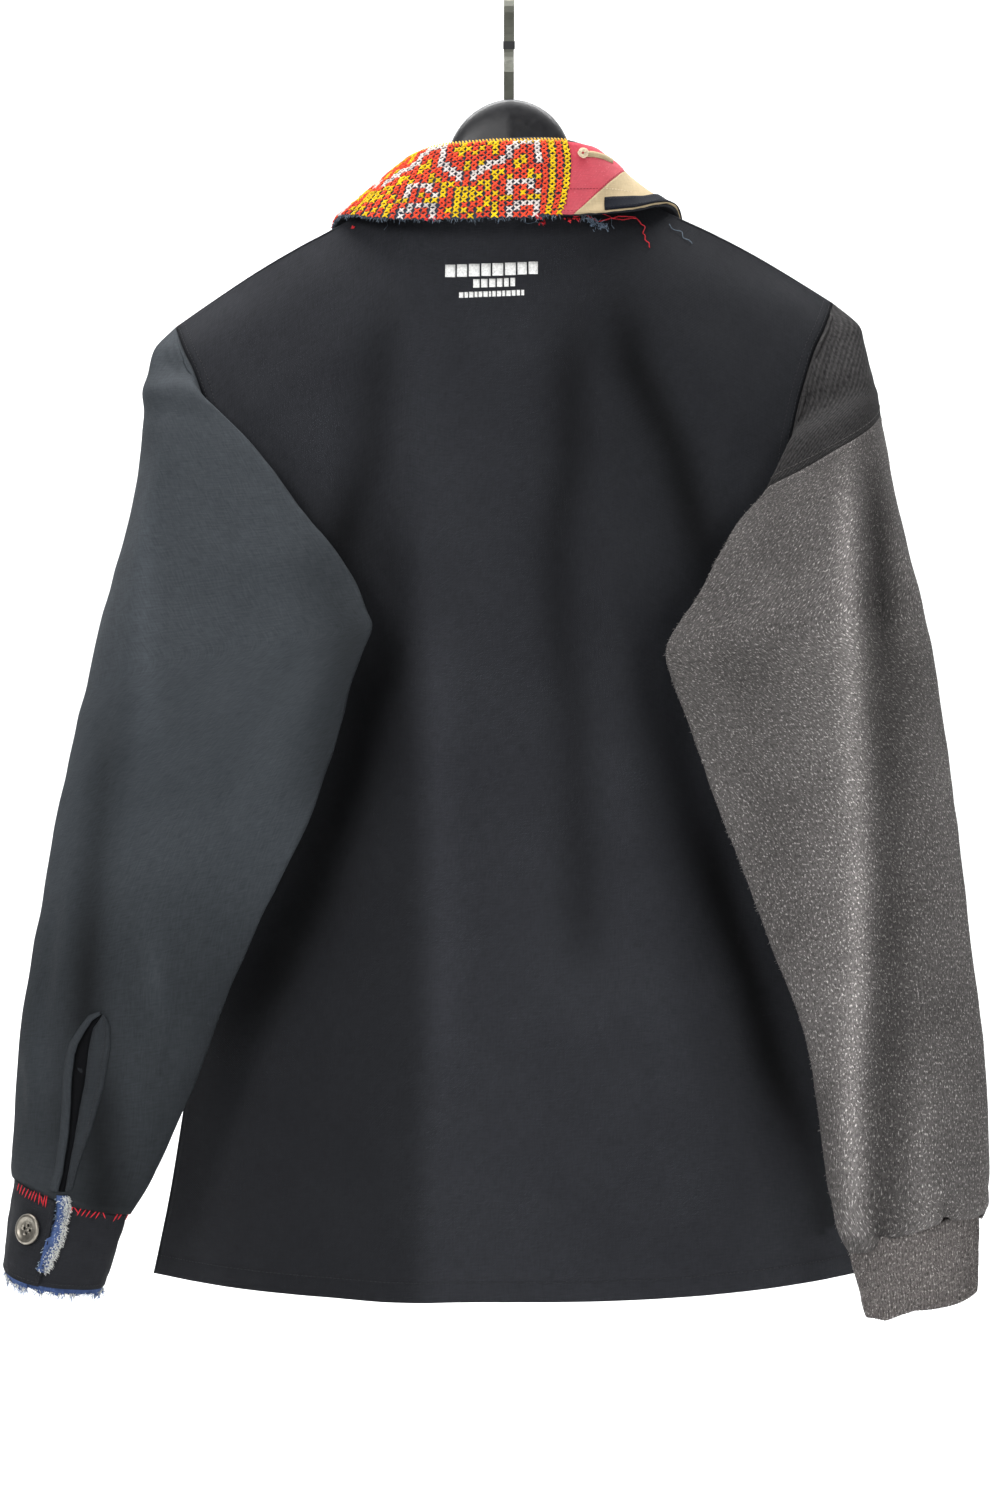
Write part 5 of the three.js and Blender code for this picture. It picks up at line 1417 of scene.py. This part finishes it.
# A centripetal curve through the collar's stations, from the left front end to the right one.
def collarPoint(which, place):
    half = [np.array(s[which], float) for s in collar["stations"]]
    whole = [p * (-1, 1, 1) for p in half[1:][::-1]] + half
    at = min(max(place + 7, 0), 14)
    k = min(int(at), 13)
    w = at - k
    p1, p2 = whole[k], whole[k + 1]
    p0 = whole[k - 1] if k > 0 else 2 * p1 - p2
    p3 = whole[k + 2] if k < 13 else 2 * p2 - p1
    d0, d1, d2 = (max(1e-4, np.linalg.norm(b - a)) ** 0.5 for a, b in ((p0, p1), (p1, p2), (p2, p3)))
    t1 = ((p1 - p0) / d0 - (p2 - p0) / (d0 + d1) + (p2 - p1) / d1) * d1
    t2 = ((p2 - p1) / d1 - (p3 - p1) / (d1 + d2) + (p3 - p2) / d2) * d1
    p = p1 + t1 * w + (-3 * p1 + 3 * p2 - 2 * t1 - t2) * w ** 2 + (2 * p1 - 2 * p2 + t1 + t2) * w ** 3
    return np.array([p[0] + body["offset"] * 0.6, p[1], p[2] + body["tilt"] * p[0]])


def outwardFromNeck(p):
    return unit(np.array([p[0] - body["offset"] * 0.6, (p[1] - 20) * 1.1, 0]))


def collarFall():
    grid = []
    for t in collar["rows"]:
        row = []
        for foldPlace, edgePlace in collar["columns"]:
            crest = collarPoint(0, foldPlace)
            away = outwardFromNeck(crest)
            if t == 0:
                row.append(crest - away * 1.6)
                continue
            lower = collarPoint(1, mix(foldPlace, edgePlace, t))
            row.append(mix(crest, lower, t) + away * (5 * math.sin(math.pi * math.sqrt(t)) + 1.5))
        grid.append(row)
    return np.array(grid)


fallFine = fineGrid(collarFall(), collar["rowSteps"], collar["columnSteps"])
fallNormals = gridNormals(fallFine, -1)
fallInner = fallFine - fallNormals * collar["thickness"]
fallInner[0] = fallFine[0] - (0, 0, collar["thickness"])
clothPiece("collar_fall_cloth", fallFine, fallNormals, collar["thickness"], "blackTwill", "black_cotton",
           "collar_fall", "folded", "back_cloth", inner=fallInner)


def collarStand():
    backMiddle, frontMiddle = backGrid.shape[1] // 2, frontGrid.shape[1] // 2
    def neckHalf(side):
        backPoints = [(backGrid[0, backMiddle + side * k], place * side)
                      for k, place in enumerate(collar["backPlaces"])]
        frontPoints = [(frontGrid[0, frontMiddle + side * (len(collar["frontPlaces"]) - k)], place * side)
                       for k, place in enumerate(collar["frontPlaces"])]
        return backPoints + frontPoints
    neck = neckHalf(-1)[1:][::-1] + neckHalf(1)
    grid = []
    for t in (0, 0.5, 1):
        row = []
        for foot, place in neck:
            bottom = foot + np.array([0, 0, body["seamGap"]])
            top = collarPoint(0, place) - np.array([0, 0, collar["standDrop"]])
            row.append(mix(bottom, top, t) + outwardFromNeck(foot) * (-0.5 - 1.5 * t))
        grid.append(row)
    return np.array(grid)


standFine = fineGrid(collarStand(), 6, 5)
standNormals = np.array([[outwardFromNeck(p) for p in row] for row in standFine])
clothPiece("collar_stand_cloth", standFine, standNormals, collar["thickness"], "blackTwill", "black_cotton",
           "collar_stand", "hung", "back_cloth")


# The column at which each fine row of the fall crosses a straight line from (x, z) to (x, z).
def columnsAtLine(line, low, high):
    (x0, z0), (x1, z1) = line
    found = []
    for row in fallFine:
        part = row[low:high + 1]
        past = part[:, 0] - (x0 + (part[:, 2] - z0) * (x1 - x0) / (z1 - z0))
        k = int(np.argmax(past >= 0)) if (past >= 0).any() else len(part) - 1
        share = past[k - 1] / (past[k - 1] - past[k]) if 0 < k and past[k] >= 0 else 0
        found.append(low + max(0, k - 1 + share))
    return np.array(found)


# A patch sewn on the collar's fall, from its own points; ragged leaves the lower edge uneven.
def collarPatch(name, rows, columns, lift, thickness, material, slot, node, ragged=0.0, seed=1):
    a, b = rows[0] * collar["rowSteps"], rows[1] * collar["rowSteps"]
    across = [np.broadcast_to(c * collar["columnSteps"] if np.isscalar(c) else c,
                              len(fallFine)) for c in columns]
    count = int(max(across[1] - across[0])) + 1
    share = np.linspace(0, 1, count)[None, :]
    places = mix(across[0][a:b + 1, None], across[1][a:b + 1, None], share)
    at = np.arange(a, b + 1)[:, None] + 0 * places
    base, normals = sample(fallFine, at, places), unit(sample(fallNormals, at, places))
    grid = base + normals * (lift + thickness + softNoise(base, 18, seed)[..., None] * 0.25)
    if ragged:
        t = smooth((np.arange(b - a + 1) - (b - a) + 2) / 2)[:, None]
        grid[..., 2] -= (softNoise(grid, 5, seed + 3) * ragged + ragged * 0.6) * t
    normals = gridNormals(grid, -1)
    clothPiece(name, grid, normals, thickness, material, slot, node, "stretched", "collar_fall_cloth")
    return grid, normals


lastRow = len(collar["rows"]) - 1
lastColumn = len(collar["columns"]) - 1
groundGrid, groundNormals = collarPatch("embroidered_ground", (1, lastRow), (0, collar["embroideredEnd"]),
                                        0.2, 0.9,
                                        "navyGround", "cross_stitch", "collar_embroidered_panel", 0.9, 70)
slant = columnsAtLine(*collar["redLine"])
redGrid, redNormals = collarPatch("collar_red_cloth", (1, lastRow), (collar["embroideredEnd"], slant), 0.3,
                                  collar["patch"], "rosyCotton", "red_cotton", "collar_red_patch", 0.2, 72)
collarPatch("collar_cream_cloth", (1, lastRow), (slant, lastColumn), 0.3, collar["patch"], "creamCotton",
            "cream_cotton", "collar_cream_patch", 0.3, 74)
blackEdge = columnsAtLine(*collar["blackLine"])
blackGrid, blackNormals = collarPatch("collar_black_cloth", (collar["blackRow"], lastRow),
                                      (blackEdge, lastColumn),
                                      1.7, 0.9, "inkCotton", "black_cotton", "collar_black_strip", 0.0, 76)
print("collar sewn")


crossStitch = {
    "cellWidth": 4.8, "cellHeight": 4.25, "arm": 6.7, "width": 1.6, "height": 1.4, "lift": 0.45,
    "bars": "ryry",
    # how far a cross strays, how much its colour varies, its slant, and how high the upper thread lies
    "stray": 0.09, "shades": 0.1, "slant": 0.86, "upperLift": 0.35,
    "chart": [
        "rryyrrwwwwrryr",
        "ryryrwwrrwryyy",
        "yrryrwrrrwrryr",
        "rrrrwwryrwrrrr",
        "rywwwryyrwwrry",
        "rwwrrryrrrwwry",
        "wwryyrrryrrwwr",
        "wrryryrryyrrwr",
        "ryyrrwwwwryyrr",
        "yryrrwrrwryryy",
        "yyryrwryrwyryy",
        "yryryyrryyrryy",
    ],
    "colours": {"r": (236, 76, 46), "y": (236, 196, 16), "w": (226, 216, 210)},
}


def sewEmbroidery():
    rows, columns = groundGrid.shape[:2]
    middle = arcLengths(groundGrid[rows // 2])
    down = arcLengths(groundGrid[:, columns // 3])
    across = int(middle[-1] / crossStitch["cellWidth"])
    high = int(down[-1] / crossStitch["cellHeight"])
    places, along, up, tint, stretch = [], [], [], [], []
    chart, bars = crossStitch["chart"], crossStitch["bars"]
    for r in range(high):
        for c in range(across):
            row = np.interp((r + 0.5) / high * down[-1], down, np.arange(rows))
            column = np.interp((c + 0.5) / across * middle[-1], middle, np.arange(columns))
            letter = chart[r % len(chart)][(c - across) % len(chart[0])]
            if c >= across - len(bars):
                letter = bars[c - across]
            jitter = chance.normal(size=4)
            stray = jitter * crossStitch["stray"]
            p = sample(groundGrid, row + stray[0], column + stray[1])
            n = unit(sample(groundNormals, row, column))
            right = unit(sample(groundGrid, row, column + 0.5) - sample(groundGrid, row, column - 0.5))
            below = unit(sample(groundGrid, row + 0.5, column) - sample(groundGrid, row - 0.5, column))
            colour = np.array(linear(crossStitch["colours"][letter]))
            colour[:3] *= 1 + crossStitch["shades"] * jitter[2]
            for order, slope in enumerate((1, -1)):
                places.append(p + n * (crossStitch["lift"] + crossStitch["upperLift"] * order))
                along.append(unit(right + below * slope * (crossStitch["slant"] + 0.06 * jitter[3])))
                up.append(n)
                tint.append(colour)
                stretch.append((1 + 0.05 * jitter[2], 1 + 0.08 * jitter[3], 1))
    size = (crossStitch["arm"], crossStitch["width"], crossStitch["height"])
    sew("cross_stitches", places, along, up, size, "floss", stretch, tint)
    print("cross stitches:", len(places))


sewEmbroidery()

trim = {
    "tabTop": [(50.5, -113.2), (57, -112.4), (63.5, -112.9), (69, -114)],
    "tabFoot": [(50.5, -117.6), (57, -117), (63.5, -117.3), (69.6, -118.4)],
    "knot": (48.8, -115.6, 3.1),
    "seams": [([(38.6, -110), (38.6, -141), (38, -153)], "darkRedThread"),
              ([(37.5, -141.4), (50, -140), (62, -138.6)], "darkRedThread"),
              ([(62.5, -138.4), (72, -137.6), (83, -138.2)], "creamThread")],
    "redBits": [(-106, -156.4), (-53, -157.4), (-48, -157.6), (18.5, -157.6), (23, -157.6), (40, -154.8),
                (45, -154.4)],
    "redLoops": [[(49, -153.6), (54, -156.6), (60, -158.6), (66, -157.6), (72, -155.4), (79, -154.2),
                  (84, -155)],
                 [(62, -154), (68, -156.4), (76, -157), (82, -155.6), (85, -156)],
                 [(84, -154.4), (88.6, -158.6), (90.6, -163), (91.2, -168.9), (93, -173), (94.6, -176.6)],
                 [(40, -154), (44, -156), (48, -154.6)]],
    "clump": [(50, -155.6), (55, -158), (60, -161), (65, -161.4)],
    "looseEnds": [[(67.5, -156), (69, -159), (68.6, -162), (70.4, -164)],
                  [(108, -158), (114, -163), (120, -167), (124, -172)],
                  [(-83, -157), (-82, -161), (-84, -164)], [(10, -158), (13, -161), (18, -160), (22, -162)]],
    "loopRadii": [0.42, 0.3, 0.38, 0.4], "endRadii": [0.35, 0.3, 0.2, 0.22],
}


# The loop tab with its knot, the seams and edges of the patches, and the overcast upper edge.
def collarSeams(tree):
    tab, _, _ = ribbon("collar_tab_cloth", tree, trim["tabTop"], trim["tabFoot"],
                       (0.2, 1.0, 1.5, 1.6, 1.5, 1.0, 0.2),
                       0.25, "creamCotton")
    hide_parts("collar_tab")
    x, z, radius = trim["knot"]
    points, normals = onSurface(tree, [(x, z)])
    paths = []
    for k in range(5):
        angles = np.linspace(0, 2 * math.pi, 13) + k
        ring = np.stack([np.cos(angles), 0.55 * np.sin(angles * 2 + k) - 0.5, np.sin(angles)], -1)
        size = (radius * (0.5 + 0.12 * k), 0.7, radius * (0.5 + 0.1 * k))
        paths.append(points[0] + normals[0] * 1.3 + ring * size)
    finish(threadMesh("collar_knot", paths, [0.8] * 5, 6), finishes["creamThread"])
    for k, (path, material) in enumerate(trim["seams"]):
        line = onSurface(tree, spacedPath(path, 1.0))
        sewLines(f"collar_seam_{k + 1}", [line], 2.4, (1.9, 0.55, 0.45), material)
    redLines = [(redGrid[:, -2], redNormals[:, -2]), (redGrid[-2], redNormals[-2])]
    blackLines = [(blackGrid[:, -2], blackNormals[:, -2]), (blackGrid[-2], blackNormals[-2]),
                  (blackGrid[1], blackNormals[1])]
    for name, lines, material in (("red", redLines, "darkRedThread"), ("black", blackLines, "blackThread")):
        sewLines(f"collar_{name}_edge_stitches", lines, 2.6, (1.6, 0.4, 0.35), material)
    places, along, up = stitchRun(groundGrid[0], groundNormals[0], 2.3, 0.5)
    lean = unit(np.cross(along, up) + along * 0.35)
    sew("collar_overcast", places, lean, up, (5.2, 1.5, 1.5), "goldThread")


# Frayed edges, bits of red thread and the loose threads that lie on the back below the collar.
def collarFrays():
    foot = groundGrid[-1]
    looseThreads("collar_fray_navy", pickAlong(foot, 420, 61), (0.2, -0.25, -1.0), (0.8, 2.6), 0.17,
                 "navyThread",
                 62, 0.7)
    looseThreads("collar_fray_pale", pickAlong(foot, 110, 63), (-0.3, -0.3, -0.8), (0.8, 3.0), 0.15,
                 "blueThread",
                 64, 0.8)
    bits, _ = onSurface(surfaceTree(bpy.data.objects["embroidered_ground"], backPiece),
                        np.repeat(trim["redBits"], 9, 0) - (0, 2.4))
    looseThreads("collar_red_bits", bits + chance.normal(size=bits.shape) * (1.6, 0.3, 0.9), (0, -0.4, -0.3),
                 (1.2, 2.6), 0.6, "brightRedThread", 65, 0.9)
    def lie(path, lift):
        points, normals = onSurface(backTree, spacedPath(path, 1.0))
        return points + normals * lift + softNoise(points, 6, 12)[:, None] * np.array([0.7, 0.2, 0.5])
    loops = threadMesh("collar_red_threads", [lie(path, 1.6) for path in trim["redLoops"]], trim["loopRadii"],
                       5)
    finish(loops, finishes["redThread"])
    ends = threadMesh("collar_loose_ends", [lie(path, 1.2) for path in trim["looseEnds"]], trim["endRadii"],
                      4)
    finish(ends, finishes["navyThread"])
    clump, _ = onSurface(backTree, spacedPath(trim["clump"], 0.14))
    clump = clump + chance.normal(size=clump.shape) * (1.4, 0.4, 1.3) - (0, 1.4, 0)
    looseThreads("collar_clump", clump, (0.4, -0.3, -0.3), (1.4, 3.8), 0.2, "blueThread", 66,
                 1.0)


collarSeams(surfaceTree(*[bpy.data.objects[name] for name in ("collar_red_cloth", "collar_cream_cloth",
                                                              "collar_fall_cloth", "embroidered_ground")]))
collarFrays()
print("collar trimmed")


hanger = {
    # x, top, halfDepth, halfHeight, y
    "stations": [(0, -69, 9, 34, 8), (15, -72, 9, 33, 8), (28, -80, 9, 30, 8), (38, -93, 9, 26, 8),
                 (46, -114, 9, 18, 6), (62, -140, 7, 12, 2), (85, -151, 6.5, 11, -4),
                 (120, -169, 6.5, 11, -4),
                 (155, -188, 7, 11, -1), (185, -205, 7, 10, 4), (203, -217, 6, 8, 8)],
    "sides": 40, "rowSteps": 6,
}


def hangerPiece():
    half = hanger["stations"]
    whole = [(-x, *rest) for x, *rest in half[1:][::-1]] + list(half)
    angles = np.linspace(0, 2 * math.pi, hanger["sides"] + 1)
    c, s = np.cos(angles), np.sin(angles)
    c, s = np.sign(c) * np.abs(c) ** 0.8, np.sign(s) * np.abs(s) ** 0.8
    grid = np.array([np.stack([np.full_like(c, x), y + halfDepth * c,
                               top + body["tilt"] * x - halfHeight + halfHeight * s], -1)
                     for x, top, halfDepth, halfHeight, y in whole])
    fine = refine(grid, hanger["rowSteps"])
    fine[..., 1] -= np.maximum(0, 1 - np.abs(fine[..., 0] - 1) / 40) * 3 * (fine[..., 1] < 8)
    rows, columns = len(fine), hanger["sides"]
    vertices = fine[:, :-1].reshape(-1, 3) * toMetres
    faces = []
    for i in range(rows - 1):
        for j in range(columns):
            a, b = i * columns + j, i * columns + (j + 1) % columns
            faces.append([a, b, b + columns, a + columns])
    faces.append(list(range(columns))[::-1])
    faces.append([(rows - 1) * columns + j for j in range(columns)])
    obj = meshObject("hanger_body", vertices, faces)
    faceOutward(obj.data)
    finish(obj, finishes["hangerPlastic"])
    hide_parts("hanger")


hangerPiece()
for nodeName, material in (("hanger_hook", "hookSteel"), ("hook_tip_cap", "capRubber")):
    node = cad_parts[nodeName]
    node.data.materials.clear()
    node.data.materials.append(finishes[material])

buttons = {
    # radius and depth
    "front": (9, 2.6), "cuff": (10, 3.0), "holes": 4, "holeRadius": 1.15, "holeRing": 2.5, "segments": 48,
    # shares of the radius and of the depth, from the middle over the rim to the flat underside
    "profile": [(0, 0.62), (0.5, 0.64), (0.66, 0.7), (0.74, 0.96), (0.84, 1), (0.94, 0.9), (1, 0.6),
                (0.97, 0.25),
                (0.86, 0), (0, 0)],
}


# A sewn-through metal button: rim, dished middle and four holes cut right through.
def buttonPiece(name, radius, depth, at, out, node):
    bm = bmesh.new()
    line = [bm.verts.new((r * radius, 0, h * depth)) for r, h in buttons["profile"]]
    edges = [bm.edges.new((a, b)) for a, b in zip(line, line[1:])]
    bmesh.ops.spin(bm, geom=line + edges, axis=(0, 0, 1), cent=(0, 0, 0), steps=buttons["segments"],
                   angle=2 * math.pi)
    bmesh.ops.remove_doubles(bm, verts=bm.verts, dist=0.001)
    bmesh.ops.recalc_face_normals(bm, faces=bm.faces)
    mesh = bpy.data.meshes.new(name)
    bm.to_mesh(mesh)
    bm.free()
    obj = addObject(name, mesh)
    cutters = []
    for k in range(buttons["holes"]):
        angle = math.pi / 4 + k * math.pi / 2
        bpy.ops.mesh.primitive_cylinder_add(vertices=14, radius=buttons["holeRadius"], depth=depth * 4)
        cutter = bpy.context.object
        cutter.location = (buttons["holeRing"] * math.cos(angle), buttons["holeRing"] * math.sin(angle), 0)
        cutters.append(cutter)
        hole = obj.modifiers.new("hole", "BOOLEAN")
        hole.object = cutter
    bpy.context.view_layer.update()
    cut = bpy.data.meshes.new_from_object(obj.evaluated_get(bpy.context.evaluated_depsgraph_get()))
    obj.modifiers.clear()
    obj.data = cut
    for cutter in cutters:
        bpy.data.objects.remove(cutter)
    turn = Vector((0, 0, 1)).rotation_difference(Vector(out)).to_matrix().to_4x4()
    cut.transform(Matrix.Scale(toMetres, 4) @ Matrix.Translation(Vector(at)) @ turn)
    cut.shade_smooth()
    finish(obj, finishes["pewter"])
    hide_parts(node)


for k in range(6):
    node = f"front_button_{k + 1}"
    low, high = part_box(node)
    centre = (low + high) / 2 / toMetres
    buttonPiece(node + "_metal", *buttons["front"], (centre.x, low.y / toMetres, centre.z), (0, 1, 0), node)

seatRow = cuff["buttonShare"] * (len(cuffFine) - 1)
seatColumn = (cuff["columns"] - cuff["buttonColumnsFromEnd"]) * cuff["columnSteps"]
seatOut = unit(sample(cuffNormals, seatRow, seatColumn))
seatAt = sample(cuffFine, seatRow, seatColumn) + seatOut * cuff["buttonStand"]
buttonPiece("cuff_button_metal", *buttons["cuff"], tuple(seatAt), tuple(seatOut), "cuff_left_button")
print("hanger and buttons made")


view = {"at": (-6.1, -1860, -514), "focalPixels": 2727, "imageHeight": 1500, "sensor": 36}
camera = addObject("camera", bpy.data.cameras.new("camera"))
camera.location = Vector(view["at"]) * toMetres
camera.rotation_euler = (math.pi / 2, 0, 0)
camera.data.sensor_fit = "AUTO"
camera.data.sensor_width = camera.data.sensor_height = view["sensor"]
camera.data.lens = view["focalPixels"] / view["imageHeight"] * view["sensor"]
camera.data.clip_end = 20
bpy.context.scene.camera = camera
bpy.context.scene.view_settings.view_transform = "Standard"

studio = {
    "floorZ": -1080, "backY": 1100, "bend": 500, "bendSteps": 12, "width": 8000, "front": -6000, "top": 4000,
    "paper": (0.93, 0.94, 0.945, 1), "worldStrength": 0.2,
    # place, aim, size and power of each soft light, in metres and watts
    "lights": {"key": ((-1.3, -2.6, 0.6), (0, 0, -0.5), (1.1, 1.1), 46),
               "fill": ((1.7, -2.7, -0.2), (0, 0, -0.5), (1.0, 1.4), 17),
               "backdropWash": ((0, 0.3, 2.0), (0, 1.1, -0.2), (3.4, 0.8), 130),
               "floorWash": ((0, -1.0, 2.6), (0, 0.6, -1.08), (3.0, 0.6), 30)},
}


# The floor runs back and bends up into the backdrop.
def studioSweep():
    points = [(studio["front"], studio["floorZ"])]
    for k in range(studio["bendSteps"] + 1):
        angle = math.pi / 2 * k / studio["bendSteps"]
        points.append((studio["backY"] - studio["bend"] * (1 - math.sin(angle)),
                       studio["floorZ"] + studio["bend"] * (1 - math.cos(angle))))
    points.append((studio["backY"], studio["top"]))
    half = studio["width"] / 2
    vertices = [(x * toMetres, y * toMetres, z * toMetres) for y, z in points for x in (-half, half)]
    faces = [[2 * k, 2 * k + 1, 2 * k + 3, 2 * k + 2] for k in range(len(points) - 1)]
    obj = meshObject("studio_floor", vertices, faces)
    material, tree, shader = startMaterial("paperFloor", 0.9)
    fillInputs(tree, shader, {"Base Color": studio["paper"]})
    obj.data.materials.append(material)


def softLight(name, at, aim, size, power):
    light = bpy.data.lights.new(name, "AREA")
    light.shape = "RECTANGLE"
    light.size, light.size_y = size
    light.energy = power
    obj = addObject(name, light)
    obj.location = at
    obj.rotation_euler = (Vector(aim) - Vector(at)).to_track_quat("-Z", "Y").to_euler()


studioSweep()
for name, settings in studio["lights"].items():
    softLight(name, *settings)
world = bpy.data.worlds.new("studio")
bpy.context.scene.world = world
world.use_nodes = True
fillInputs(world.node_tree, world.node_tree.nodes["Background"],
           {"Color": (1, 1, 1, 1), "Strength": studio["worldStrength"]})
print("studio set")
